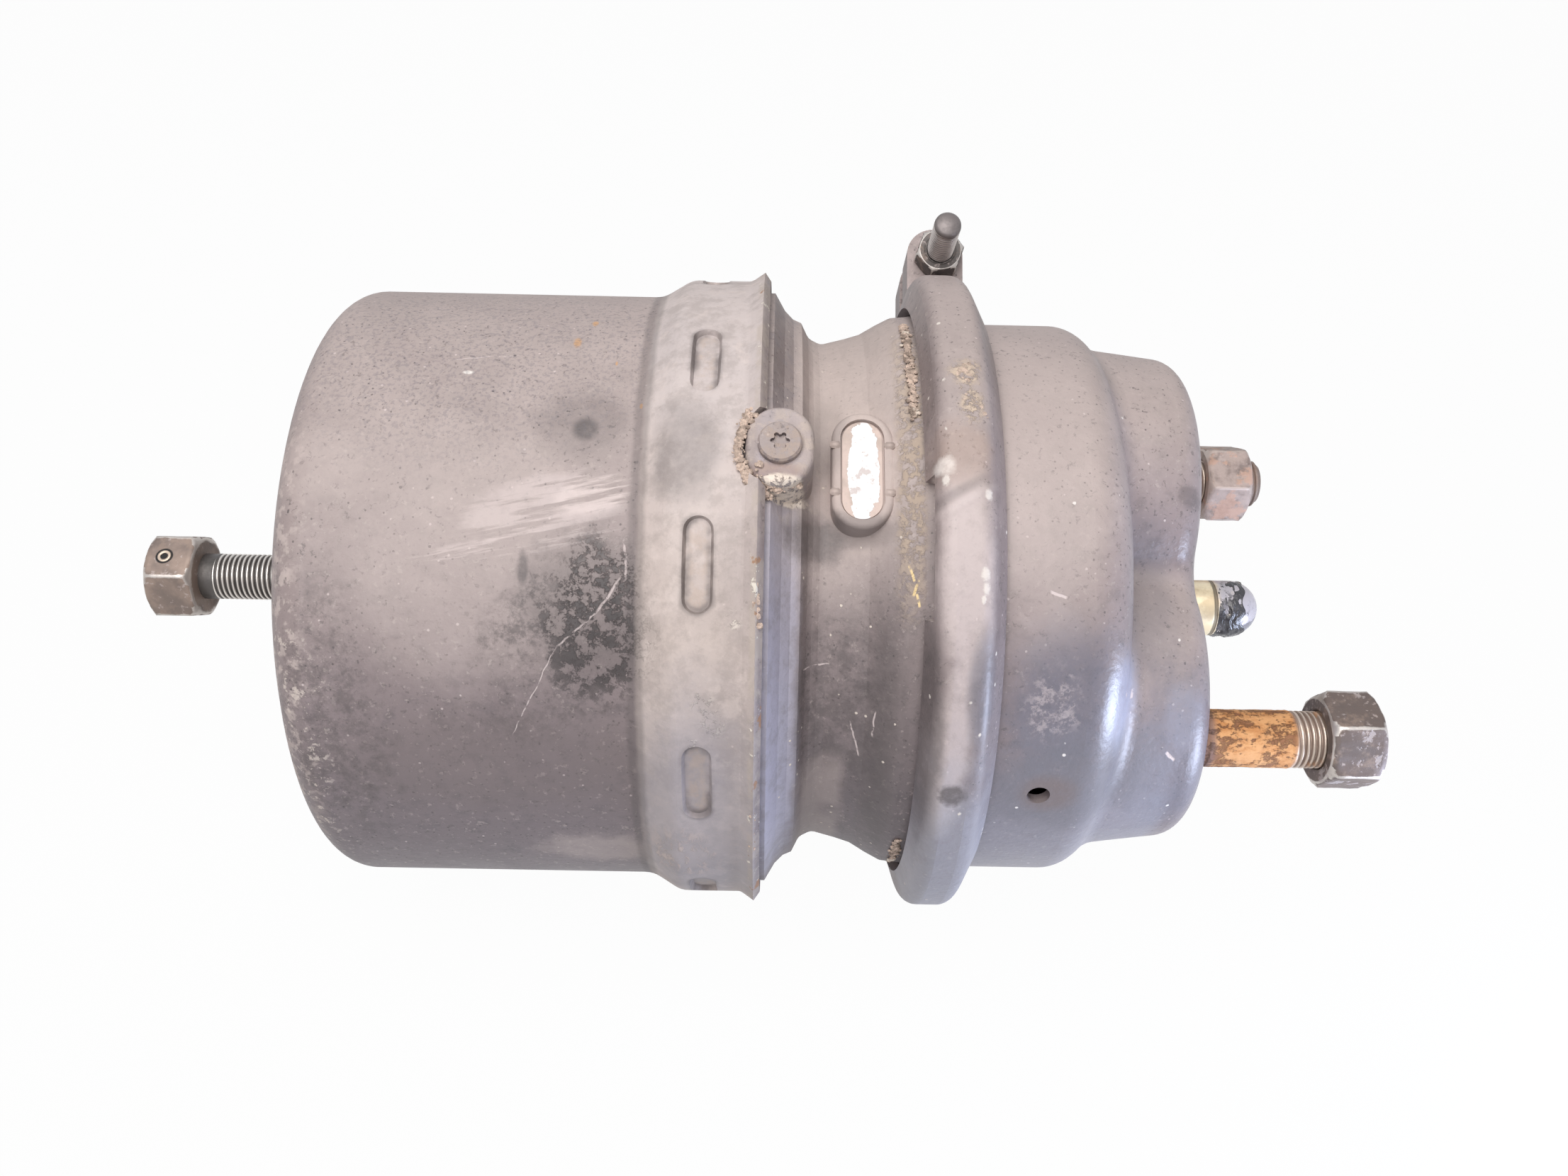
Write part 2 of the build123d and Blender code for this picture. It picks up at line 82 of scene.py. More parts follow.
DIMPLE_STATION, DIMPLE_ANGLE, DIMPLE_STEP = -135.2, 100.8, 36.0
DIMPLE_REACH, DIMPLE_RADIUS = 8.25, 3.0     # from a dimple's middle to its round ends' centres, and their radius
LABEL_STATION, LABEL_ANGLE = -95.4, 117.9
PIN_STATION, PIN_ANGLE = -299.5, 111.3      # where the cross pin lies, and which way it points
STUD_SIDE = 60.325                          # from the middle to each stud
STUD_THREAD_START, STUD_THREAD_END = 24.0, 46.6
WIDE_FLATS = 24.0                           # across the flats of the stud nuts and the release head
CLAMP_FLATS = 13.0
CLAMP_STATION, CLAMP_ANGLE = -68.8, 40.5    # where the clamp bolt crosses the ring
ROD_ASIDE = (-2.5, -2.9)                    # where the slack rod's axis stands, in Y and Z
ROD_GREASE_START, ROD_GREASE_RADIUS = 17.7, 8.42

# The view looks past a station on the axis, a little turned and rolled and not quite level with it.
VIEW_STATION, VIEW_DROP, VIEW_TURN, VIEW_ROLL = -113.9, 0.88, 0.44, 1.11
VIEW_FOCAL, VIEW_WIDTH, VIEW_SHIFT = 1800, 2212, 2.9        # focal length, width and shift in the frame's own units


# ---- sizes and colours that a user would change ----
class ChamberPaint(bpy.types.PropertyGroup):
    """Paint of the pressings and the casting."""

    pressing: FloatVectorProperty(name="Pressing paint", description="Worn paint of the two pressings under its dust",
                                  subtype="COLOR", default=(0.315, 0.255, 0.25))
    casting: FloatVectorProperty(name="Casting paint", description="Paint of the aluminium casting",
                                 subtype="COLOR", default=(0.275, 0.225, 0.22))
    grime: FloatVectorProperty(name="Grime", description="Dark oily grime and bare old paint", subtype="COLOR",
                               default=(0.085, 0.072, 0.072))
    dust: FloatVectorProperty(name="Road dust", description="Pale dust that lies on top", subtype="COLOR",
                              default=(0.56, 0.475, 0.45))
    scuff: FloatVectorProperty(name="Scuffs", description="Paint rubbed pale", subtype="COLOR",
                               default=(0.68, 0.585, 0.575))
    peel: FloatProperty(name="Orange peel", description="Height of the paint's fine ripple", default=0.00004,
                        unit="LENGTH")


class ChamberSteel(bpy.types.PropertyGroup):
    """Threads, nuts and the rod."""

    stud_crest: FloatProperty(name="Stud thread radius", description="Over the worn crests", default=0.0078,
                              unit="LENGTH")
    stud_pitch: FloatProperty(name="Stud thread pitch", description="M16 x 1.5", default=0.0015, unit="LENGTH")
    screw_crest: FloatProperty(name="Release screw radius", description="Over the crests", default=0.007,
                               unit="LENGTH")
    screw_pitch: FloatProperty(name="Release screw pitch", description="M14 x 1.5", default=0.0015, unit="LENGTH")
    bolt_pitch: FloatProperty(name="Clamp bolt pitch", description="M8 x 1.25", default=0.00125, unit="LENGTH")
    bright: FloatVectorProperty(name="Rubbed steel", description="Edges and crests rubbed bright", subtype="COLOR",
                                default=(0.62, 0.57, 0.53))
    rust: FloatVectorProperty(name="Rust", description="Flaky orange rust on the stud", subtype="COLOR",
                              default=(0.60, 0.27, 0.10))
    brass: FloatVectorProperty(name="Yellow zinc", description="Passivated rod", subtype="COLOR",
                               default=(0.93, 0.79, 0.55))


class ChamberDirt(bpy.types.PropertyGroup):
    """Sand, crust and grease."""

    sand: FloatVectorProperty(name="Sand", description="Caked road sand", subtype="COLOR",
                              default=(0.46, 0.36, 0.30))
    grain: FloatProperty(name="Largest grain", description="Radius of the largest clod", default=0.0013,
                         unit="LENGTH")
    grease: FloatVectorProperty(name="Grease", description="Old black grease on the rod", subtype="COLOR",
                                default=(0.035, 0.033, 0.038))
    seed: IntProperty(name="Seed", description="Where the grains fall", default=7)


class ChamberStage(bpy.types.PropertyGroup):
    """Floor, lamps and view."""

    floor: FloatVectorProperty(name="Floor", description="Pale floor", subtype="COLOR",
                               default=(0.60, 0.61, 0.62))
    key: FloatProperty(name="Key lamp", description="Power of the soft lamp above", default=10.8, unit="POWER")
    fill: FloatProperty(name="Fill lamp", description="Power of the lamp beside the view", default=3.2, unit="POWER")
    glint: FloatProperty(name="Window lamp", description="Power of the low lamp whose glints lie on the lower side",
                         default=0.75, unit="POWER")
    distance: FloatProperty(name="View distance", description="From the lens to the axis", default=0.3935,
                            unit="LENGTH")
    elevation: FloatProperty(name="View elevation", description="Above the level", default=math.radians(40.2),
                             subtype="ANGLE")


class ChamberSettings(bpy.types.PropertyGroup):
    """All of the chamber's settings."""

    paint: PointerProperty(type=ChamberPaint)
    steel: PointerProperty(type=ChamberSteel)
    dirt: PointerProperty(type=ChamberDirt)
    stage: PointerProperty(type=ChamberStage)


# ---- shader writing ----
class Field:
    """A socket that takes part in arithmetic, adding its Math nodes as it goes."""

    def __init__(self, wiring, socket):
        self.wiring = wiring
        self.socket = socket

    def other(self, output):
        """Another output of the same node."""
        return Field(self.wiring, self.socket.node.outputs[output])

    def _math(self, operation, first, second):
        return self.wiring.node("ShaderNodeMath", {"operation": operation}, {0: first, 1: second})

    def __add__(self, value):
        return self._math("ADD", self, value)

    __radd__ = __add__

    def __sub__(self, value):
        return self._math("SUBTRACT", self, value)

    def __rsub__(self, value):
        return self._math("SUBTRACT", value, self)

    def __mul__(self, value):
        return self._math("MULTIPLY", self, value)

    __rmul__ = __mul__

    def __truediv__(self, value):
        return self._math("DIVIDE", self, value)

    def __pow__(self, value):
        return self._math("POWER", self, value)

    def __mod__(self, value):
        return self._math("FLOORED_MODULO", self, value)

    def __abs__(self):
        return self._math("ABSOLUTE", self, 0.0)

    def least(self, value):
        """The smaller of the two."""
        return self._math("MINIMUM", self, value)

    def most(self, value):
        """The larger of the two."""
        return self._math("MAXIMUM", self, value)

    def rise(self, low, high):
        """0 below low, 1 above high, smooth between."""
        return self.wiring.node("ShaderNodeMapRange", {"interpolation_type": "SMOOTHSTEP"},
                                {"Value": self, "From Min": low, "From Max": high})


class Wiring:
    """A node tree that is written from values and fields."""

    def __init__(self, tree):
        self.tree = tree

    def feed(self, socket, value):
        """Gives a socket its link or its value."""
        if isinstance(value, Field):
            self.tree.links.new(value.socket, socket)
        else:
            socket.default_value = value

    def node(self, kind, settings, inputs, output=0):
        """Any node: its settings first, then the values or links of its sockets."""
        made = self.tree.nodes.new(kind)
        for name, value in settings.items():
            setattr(made, name, value)
        for name, value in inputs.items():
            self.feed(made.inputs[name], value)
        return Field(self, made.outputs[output])


class Sheet(Wiring):
    """The nodes of one finish: it keeps colour, roughness, metal and height, and lays coats over them."""

    def __init__(self, name, colour, roughness, metallic=0.0):
        self.material = bpy.data.materials.new(name)
        self.material.use_nodes = True
        self.material.diffuse_color = (*colour, 1.0)
        super().__init__(self.material.node_tree)
        self.shader = self.tree.nodes["Principled BSDF"]
        self.radius = HOUSING_RADIUS
        self.place = self.node("ShaderNodeTexCoord", {}, {}, "Object")
        self.normal = self.place.other("Normal")
        self.x = self.node("ShaderNodeSeparateXYZ", {}, {0: self.place})
        self.y = self.x.other("Y")
        self.z = self.x.other("Z")
        turn = math.radians(NEAR_ANGLE)
        ahead = self.y * math.cos(turn) + self.z * math.sin(turn)
        across = self.z * math.cos(turn) - self.y * math.sin(turn)
        self.around = self.node("ShaderNodeMath", {"operation": "ARCTAN2"}, {0: across, 1: ahead})
        self.colour = self.flat(colour)
        self.roughness = self.noise(70, 3, 0.6) * 0.16 + (roughness - 0.08)
        self.metallic = metallic
        self.height = None

    def flat(self, colour):
        """A colour as it is written."""
        return (*colour, 1.0)

    def mix(self, mask, first, second):
        """Two colours mixed."""
        return self.node("ShaderNodeMix", {"data_type": "RGBA"}, {0: mask, 6: first, 7: second}, 2)

    def noise(self, scale, detail=4.0, rough=0.55, stretch=None, twist=0.0, tilt=None):
        """Cloudy noise, with that many features to the metre. Tilt is an angle about X and degrees of slope there."""
        where = self.place
        if tilt:
            about = math.radians(tilt[0])
            where = self.node("ShaderNodeVectorRotate", {},
                              {"Vector": where, "Axis": (0, math.cos(about), math.sin(about)),
                               "Angle": math.radians(-tilt[1])})
        if stretch:
            where = self.node("ShaderNodeVectorMath", {"operation": "MULTIPLY"}, {0: where, 1: stretch})
        return self.node("ShaderNodeTexNoise", {}, {"Vector": where, "Scale": scale, "Detail": detail,
                                                    "Roughness": rough, "Distortion": twist})

    def specks(self, scale, size, share):
        """Small round specks in some of the cells."""
        cell = self.node("ShaderNodeTexVoronoi", {}, {"Vector": self.place, "Scale": scale, "Randomness": 1.0})
        chosen = self.node("ShaderNodeSeparateColor", {}, {0: cell.other("Color")})
        ragged = self.noise(scale * 4, 2)
        return (1.0 - (cell + (ragged - 0.5) * size).rise(size * 0.55, size)) * chosen.rise(1.0 - share, 1.001 - share)

    def facing(self, direction):
        """How far the surface faces a direction."""
        return self.node("ShaderNodeVectorMath", {"operation": "DOT_PRODUCT"},
                         {0: self.normal, 1: Vector(direction).normalized()}, "Value")

    def band(self, start, end, soft=1.0):
        """1 between two stations along the axis, in millimetres."""
        x = self.x + (self.noise(160, 4) - 0.5) * (soft * 1.6 * MM)
        return x.rise((start - soft) * MM, (start + soft) * MM) * (1.0 - x.rise((end - soft) * MM, (end + soft) * MM))

    def from_mark(self, x, angle, radius, turn):
        """How far the surface lies from a station and an angle, along a turned direction and across it, in metres."""
        along = self.x - x * MM
        beside = (self.around - math.radians(angle - NEAR_ANGLE)) * ((radius or self.radius) * MM)
        c, s = math.cos(math.radians(turn)), math.sin(math.radians(turn))
        return along * c + beside * s, beside * c - along * s

    def patch(self, x, angle, long, wide, radius=None, turn=0.0, ragged=0.5, scale=110, hard=0.42):
        """A ragged patch at a station and an angle; its half sizes are in millimetres."""
        along, across = self.from_mark(x, angle, radius, turn)
        a = along / (long * MM)
        b = across / (wide * MM)
        reach = (a * a + b * b) ** 0.5 + (self.noise(scale, 6, 0.68) - 0.5) * (2.0 * ragged)
        return (1.0 - reach.rise(1.0 - hard, 1.0 + hard)) * (self.noise(scale * 2.6, 5, 0.7) * 1.3 + 0.35).least(1.0)

    def line(self, x, angle, long, width, radius=None, turn=0.0, wander=1.2):
        """A thin wandering line, half its length and its width in millimetres."""
        drift = (self.noise(120, 3) - 0.5) * (wander * 2 * MM)
        along, across = self.from_mark(x, angle, radius, turn)
        a = abs(along) / (long * MM)
        b = abs(across + drift) / (width * MM)
        return (1.0 - a.rise(0.75, 1.0)) * (1.0 - b.rise(0.5, 1.0)) * self.noise(420, 3).rise(0.36, 0.5)

    def lay(self, mask, colour, roughness=None, metallic=None, height=None):
        """One more coat where the mask is 1. The height is in millimetres."""
        self.colour = self.mix(mask, self.colour, self.flat(colour))
        if roughness is not None:
            self.roughness = self.roughness + (roughness - self.roughness) * mask
        if metallic is not None:
            self.metallic = mask * (metallic - self.metallic) + self.metallic
        if height is not None:
            self.raise_by(mask * height)

    def spot(self, x, angle, long, wide, share, colour, roughness, height=None, **form):
        """One more coat on a ragged patch. The share is how much of it takes, and form is what else patch() takes."""
        self.lay(self.patch(x, angle, long, wide, **form) * share, colour, roughness, height=height)

    def raise_by(self, height):
        """Adds to the height, in millimetres."""
        self.height = height if self.height is None else self.height + height

    def done(self, coat=0.0, specular=0.5):
        """Feeds everything to the shader and hands the material back."""
        into = self.shader.inputs
        self.feed(into["Base Color"], self.colour)
        self.feed(into["Roughness"], self.roughness)
        self.feed(into["Metallic"], self.metallic)
        into["Coat Weight"].default_value = coat
        into["Coat Roughness"].default_value = 0.25
        into["Specular IOR Level"].default_value = specular
        if self.height is not None:
            bump = self.node("ShaderNodeBump", {}, {"Height": self.height, "Strength": 0.9, "Distance": MM})
            self.feed(into["Normal"], bump)
        return self.material


# ---- finishes ----
def worn_paint(name, colour, paint, roughness=0.5, radius=HOUSING_RADIUS):
    """Old paint under road dust, with painted bluish shade on faces turned down: what the pressings and the casting
    share.
    """
    s = Sheet(name, colour, roughness)
    s.radius = radius
    clouds = s.noise(12, 5, 0.6)
    mottle = s.noise(48, 6, 0.62)
    fine = s.noise(260, 5, 0.62)
    s.lay(clouds.rise(0.38, 0.66) * 0.6, tuple(0.66 * c for c in colour))
    s.lay(mottle.rise(0.46, 0.70) * 0.5, tuple(min(1.0, 1.34 * c) for c in colour))
    s.lay(fine.rise(0.48, 0.68) * 0.42, paint.grime)
    up = s.facing((0, 0.25, 1.0)) + (mottle - 0.5) * 0.8 + (fine - 0.5) * 0.5
    s.lay(up.rise(0.15, 1.15) * 0.66, paint.dust, 0.72)
    # Darker, bluish paint on faces turned down: painted shade on the underside.
    under = s.facing((0.1, -0.55, -0.85)) + (mottle - 0.5) * 0.5
    s.lay(under.rise(-0.35, 0.8) * 0.66, tuple(c * k for c, k in zip(colour, (0.42, 0.44, 0.53))))
    s.lay(s.noise(520, 4, 0.7).rise(0.56, 0.70) * 0.42, paint.dust)
    s.lay(s.noise(640, 4, 0.7, twist=0.4).rise(0.57, 0.68) * 0.5, paint.grime)
    s.lay(s.specks(420, 0.17, 0.10) * 0.75, paint.scuff, 0.7, height=0.03)
    s.lay(s.specks(700, 0.24, 0.16) * 0.7, paint.grime, 0.6)
    s.lay(s.specks(260, 0.12, 0.10) * 0.8, paint.grime, 0.6, height=-0.05)
    grain = s.noise(620, 2, 0.5)
    s.raise_by(grain * (paint.peel / MM * 3.4) + fine * 0.15 + s.noise(34, 3) * 0.2)
    return s


def housing_paint(paint):
    """The rear pressing: scuffs, grime, one long scratch, a dusty collar, painted light on the collar's upper side,
    painted bluish shade on its lower side and painted shade along the dimples' edges.
    """
    s = worn_paint("housing_paint", paint.pressing, paint)
    streaks = s.noise(420, 5, 0.62, stretch=(0.10, 1.2, 1.2), tilt=(128, 12))
    strokes = s.noise(150, 4, 0.6, stretch=(0.22, 1.5, 1.5), tilt=(128, 12))
    rubbed = (streaks * 0.6 + strokes * 0.4).rise(0.44, 0.52)
    s.spot(-173, 127.6, 20, 8, rubbed * 0.62, paint.scuff, 0.66, turn=-14, ragged=0.38, hard=0.25)
    s.spot(-162, 125.6, 9, 4.5, streaks.rise(0.38, 0.50) * 0.7, (0.70, 0.60, 0.58), 0.6, turn=-14, ragged=0.3,
           hard=0.2)
    s.spot(-180, 134, 24, 2.6, streaks.rise(0.46, 0.54) * 0.5, paint.scuff, 0.6, turn=-10, hard=0.2)
    s.spot(-190, 141, 30, 22, 0.34, paint.dust, 0.6)
    s.spot(-204, 121, 34, 13, 0.26, paint.dust, 0.6, ragged=0.6)
    blots = s.noise(230, 9, 0.78).rise(0.42, 0.62)
    s.spot(-161, 144, 16, 17, 0.5, paint.grime, 0.5, ragged=0.8)
    s.spot(-159, 147, 13, 18, blots.rise(0.3, 0.7), (0.045, 0.037, 0.037), 0.45, height=-0.08, ragged=0.8)
    s.spot(-174, 146, 15, 8, blots * 0.7, paint.grime, 0.5, turn=-30, ragged=0.9)
    s.spot(-170, 158, 24, 10, blots * 0.55, paint.grime, 0.55, turn=-30, ragged=0.9)
    s.spot(-177.5, 137.8, 1.3, 4.0, 0.7, paint.grime, 0.5, ragged=0.6, scale=300)
    s.spot(-186, 172, 40, 16, 0.38, tuple(0.55 * c for c in paint.pressing), 0.5, ragged=0.6)
    s.spot(-164.3, 113.7, 3.0, 3.0, 0.8, paint.grime, 0.45, height=-0.05, ragged=0.28)
    s.spot(-165, 113, 11, 10, 0.32, paint.grime, 0.5)
    s.spot(-225, 165, 12, 34, blots * 0.55, paint.grime, 0.6, ragged=0.8)
    s.spot(-238, 150, 7, 60, s.noise(300, 5).rise(0.5, 0.62) * 0.7, paint.dust, 0.8, height=0.05, ragged=0.9)
    s.spot(-161, 196, 16, 8, 0.5, paint.dust, 0.75, ragged=0.7)
    for x, angle, long, width, turn in ((-152.9, 136.0, 5.4, 0.36, 86), (-156.6, 141.8, 5.6, 0.36, 124),
                                        (-164.2, 147.3, 7.0, 0.30, 140), (-175, 158.0, 14.0, 0.18, 116),
                                        (-192, 98.0, 9, 0.2, -8)):
        s.lay(s.line(x, angle, long, width, turn=turn) * 0.72, paint.scuff, 0.6, height=-0.06)
    for x, angle, size in ((-169.5, 93.2, 1.4), (-166.1, 86.3, 1.0), (-158.5, 99, 0.5), (-151, 109, 0.5)):
        s.spot(x, angle, size * 0.7, size * 1.5, 0.8, (0.62, 0.36, 0.18), 0.8, height=0.03, ragged=0.7, scale=420)
    s.spot(-195.7, 102, 1.3, 0.6, 1.0, (0.85, 0.80, 0.76), 0.6, height=-0.05, ragged=0.4, scale=500)
    pits = s.noise(980, 4, 0.65)
    s.spot(-196, 92, 56, 40, pits.rise(0.50, 0.60) * 0.34, (0.15, 0.14, 0.165), 0.5, height=-0.06, ragged=0.4)
    s.spot(-236, 172, 10, 50, s.noise(440, 5, 0.7).rise(0.56, 0.64) * 0.8, (0.66, 0.58, 0.53), 0.8, ragged=0.7)
    collar = s.band(-150, -121)
    s.lay(collar * s.noise(30, 4).rise(0.36, 0.62) * 0.72, (0.64, 0.535, 0.49), 0.7)
    s.spot(-138, 148, 10, 30, collar * 0.5, (0.62, 0.52, 0.46), 0.7, ragged=0.6, radius=COLLAR_RADIUS)
    grit = s.noise(520, 5, 0.7).rise(0.50, 0.58)
    for x, angle, size in ((-134.0, 157.6, 2.6), (-131.5, 161.2, 2.8), (-126.5, 145.0, 1.8), (-136, 165.5, 1.6)):
        s.spot(x, angle, size, size * 1.3, grit, (0.84, 0.77, 0.68), 0.85, height=0.15, ragged=0.7, scale=330,
               radius=COLLAR_RADIUS)
    step = math.radians(DIMPLE_STEP)
    beside = ((s.around - math.radians(DIMPLE_ANGLE - NEAR_ANGLE) + step / 2) % step - step / 2) * (COLLAR_RADIUS * MM)
    along = s.x - DIMPLE_STATION * MM
    over = (abs(beside) - DIMPLE_REACH * MM).most(0.0)
    reach = (along * along + over * over) ** 0.5
    s.lay(collar * 0.55, (0.60, 0.52, 0.49), 0.68)
    # Pale patch on the collar's upper side: painted light.
    s.spot(-136, 92, 18, 60, collar * 0.5, (0.66, 0.60, 0.60), 0.6, ragged=0.3, radius=COLLAR_RADIUS)
    s.lay(collar * s.noise(150, 7, 0.72).rise(0.44, 0.62) * 0.34, (0.30, 0.255, 0.235), 0.65)
    s.lay(collar * s.noise(90, 6, 0.7).rise(0.52, 0.66) * 0.4, (0.74, 0.64, 0.60), 0.6)
    # Dark bluish patch on the collar's lower side: painted shade.
    s.spot(-136, 186, 16, 44, collar * 0.5, (0.30, 0.29, 0.345), 0.55, ragged=0.4, radius=COLLAR_RADIUS)
    # Dark ring along each dimple's edge: painted shade in the dimples, with grime.
    rim_grime_and_shade = (1.0 - abs(reach - DIMPLE_RADIUS * MM).rise(0.2 * MM, 1.9 * MM)) * s.noise(75, 4).rise(0.36, 0.64)
    s.lay(rim_grime_and_shade * 0.62, paint.grime, 0.6)
    hollow = 1.0 - reach.rise(1.4 * MM, DIMPLE_RADIUS * MM)
    s.lay(hollow * s.noise(240, 6, 0.7).rise(0.42, 0.62) * 0.42, (0.52, 0.41, 0.34), 0.7)
    s.spot(-140, 192, 9, 12, s.noise(330, 5, 0.7, stretch=(1.4, 0.6, 0.6)).rise(0.48, 0.6), paint.dust, 0.9,
           height=0.16, ragged=0.8, radius=COLLAR_RADIUS)
    s.lay(s.band(-152.5, -148.5, 0.8) * 0.42, paint.grime, 0.6)
    s.spot(-139, 119, 8, 13, 0.42, paint.grime, 0.6, ragged=0.55, radius=COLLAR_RADIUS)
    lip = s.band(-122.6, -119, 0.4)
    s.lay(lip * s.noise(120, 5, 0.65).rise(0.40, 0.60) * 0.5, (0.50, 0.43, 0.37), 0.85, height=0.06)
    s.lay(lip * s.noise(170, 5, 0.7).rise(0.60, 0.64), (0.80, 0.74, 0.66), 0.8, height=0.12)
    s.lay(lip * s.noise(130, 4, 0.6).rise(0.63, 0.68) * 0.8, (0.36, 0.19, 0.10), 0.85, height=-0.1)
    return s.done()


def casting_paint(paint):
    """The casting: coarser skin, grime in the waist, sand along the clamp ring and painted bluish light on the flange.
    """
    s = worn_paint("casting_paint", paint.casting, paint, 0.55, WAIST_RADIUS)
    s.raise_by(s.noise(420, 5, 0.7) * 0.16 + s.noise(120, 4) * 0.16)
    ribs = s.noise(150, 3, 0.55, stretch=(2.2, 0.35, 0.35))
    s.lay(ribs.rise(0.50, 0.72) * 0.20, paint.grime, 0.6, height=-0.05)
    s.spot(LABEL_STATION, LABEL_ANGLE, 10, 19, 0.72, (0.58, 0.475, 0.43), 0.8, ragged=0.3, radius=80)
    s.spot(LABEL_STATION, LABEL_ANGLE + 11.5, 9, 4, 0.8, paint.grime, 0.6, radius=80)
    s.spot(-89, 173, 30, 45, s.band(-93, -85, 3.0) * 0.6, paint.grime, 0.5, ragged=0.8, radius=HOUSING_RADIUS)
    s.spot(-100, 165, 12, 26, s.noise(190, 7, 0.72).rise(0.40, 0.60) * 0.55, paint.grime, 0.5, ragged=0.8)
    s.lay(s.band(-110, -98, 2.0) * s.noise(26, 4).rise(0.42, 0.6) * 0.4, paint.dust, 0.7)
    flange = s.band(-121.5, -111, 1.6)
    # Pale bluish band on the flange: painted light.
    s.spot(-117, 160, 14, 66, flange * 0.8, (0.46, 0.44, 0.53), 0.5, ragged=0.35, radius=FLANGE_RADIUS)
    s.lay(flange * s.noise(170, 6, 0.7).rise(0.50, 0.62) * 0.4, (0.26, 0.235, 0.25), 0.55)
    s.spot(-100, 122, 20, 26, 0.42, paint.dust, 0.75)
    s.spot(-104, 108, 5, 13, 0.5, paint.grime, 0.6)
    s.spot(-107, 131, 7, 6, 0.7, paint.grime, 0.5, ragged=0.7)
    s.spot(-83, 112, 20, 42, s.band(-86.5, -80, 1.4) * s.noise(380, 5, 0.7).rise(0.42, 0.56), (0.46, 0.37, 0.30),
           0.95, height=0.25, radius=HOUSING_RADIUS)
    for x, angle, long, turn in ((-83.4, 137.2, 2.2, 70), (-82.4, 139.6, 2.2, 108), (-81.8, 141.8, 1.8, 74)):
        s.lay(s.line(x, angle, long, 0.42, turn=turn, radius=78, wander=0.5), (0.86, 0.66, 0.36), 0.6)
    for x, angle, long, width, turn in ((-95.5, 170.6, 6, 0.3, 78), (-91, 166, 4, 0.25, 96),
                                        (-106, 155.2, 3.6, 0.3, 0)):
        s.lay(s.line(x, angle, long, width, turn=turn) * 0.8, paint.scuff, 0.6, height=-0.08)
    s.lay(s.specks(420, 0.20, 0.14) * s.band(-116, -80), (0.72, 0.64, 0.57), 0.9, height=0.08)
    s.spot(-98, 84, 20, 40, s.band(-112, -84) * 0.4, (0.66, 0.56, 0.51), 0.7, ragged=0.4, radius=78)
    s.spot(-117, 119, 11, 13, s.noise(260, 5, 0.7).rise(0.46, 0.62) * 0.6, (0.56, 0.47, 0.41), 0.9, height=0.12,
           ragged=0.6, radius=FLANGE_RADIUS)
    s.spot(-117, 122.6, 7, 2.6, 0.6, (0.36, 0.25, 0.215), 0.8, ragged=0.4, radius=92)
    s.spot(-116.5, 124.6, 7.5, 2.6, s.noise(560, 5, 0.7).rise(0.38, 0.48), (0.88, 0.77, 0.67), 0.9, height=0.3,
           ragged=0.35, scale=300, hard=0.2, radius=92)
    return s.done()


def ring_paint(paint):
    """The clamp ring: rubbed pale in two long places, with sand, chips, a crease and painted bluish light on its lower
    side.
    """
    s = worn_paint("clamp_paint", paint.pressing, paint, 0.5, RING_RADIUS)
    s.spot(-72, 137, 7, 24, 0.72, paint.scuff, 0.62, ragged=0.45)
    s.spot(-74, 166, 5, 22, 0.66, paint.scuff, 0.62, ragged=0.45, turn=4)
    s.spot(-67, 155, 3.2, 14, 0.6, (0.20, 0.195, 0.23), 0.36, ragged=0.4)
    # Pale bluish patch on the ring's lower side: painted light.
    s.spot(-71, 196, 14, 44, 0.55, (0.40, 0.41, 0.48), 0.45, ragged=0.4)
    s.spot(-79, 165, 3.5, 30, 0.66, paint.grime, 0.6, ragged=0.6, radius=FLANGE_RADIUS)
    s.spot(-72, 172.4, 3.2, 3.0, 0.8, paint.grime, 0.5, ragged=0.9, scale=220)
    caked = s.noise(420, 5, 0.7).rise(0.42, 0.54)
    for x, angle, long, wide in ((-70.8, 104.8, 3.6, 4.2), (-69.5, 111, 2.8, 4.6)):
        s.spot(x, angle, long, wide, caked, (0.62, 0.50, 0.40), 0.95, height=0.3, ragged=0.9, scale=260)
    s.spot(-76.5, 121.3, 2.1, 2.3, 1.0, (0.88, 0.83, 0.80), 0.6, height=-0.14, ragged=0.55, scale=330)
    s.spot(-73, 119.5, 7, 8, 0.4, (0.46, 0.33, 0.27), 0.7, ragged=0.6)
    for x, angle, size in ((-66.4, 125.8, 0.9), (-67.2, 137.4, 1.1), (-67.0, 139.6, 0.9), (-76.5, 123.6, 0.9),
                           (-67.6, 141.2, 0.6)):
        s.spot(x, angle, size * 0.9, size * 1.5, 0.8, (0.84, 0.78, 0.73), 0.7, height=0.1, ragged=1.0, scale=700)
    s.spot(-73, 127.2, 9, 1.1, 0.4, paint.scuff, 0.55, height=0.5, turn=-30, ragged=0.25, hard=0.7)
    s.spot(-74, 125.6, 8, 1.2, 0.35, paint.grime, 0.6, height=-0.35, turn=-30, ragged=0.3, hard=0.7)
    s.raise_by(s.noise(26, 3, 0.5) * 1.4)
    s.lay(s.specks(330, 0.22, 0.05), (0.75, 0.69, 0.64), 0.9, height=0.06)
    return s.done()


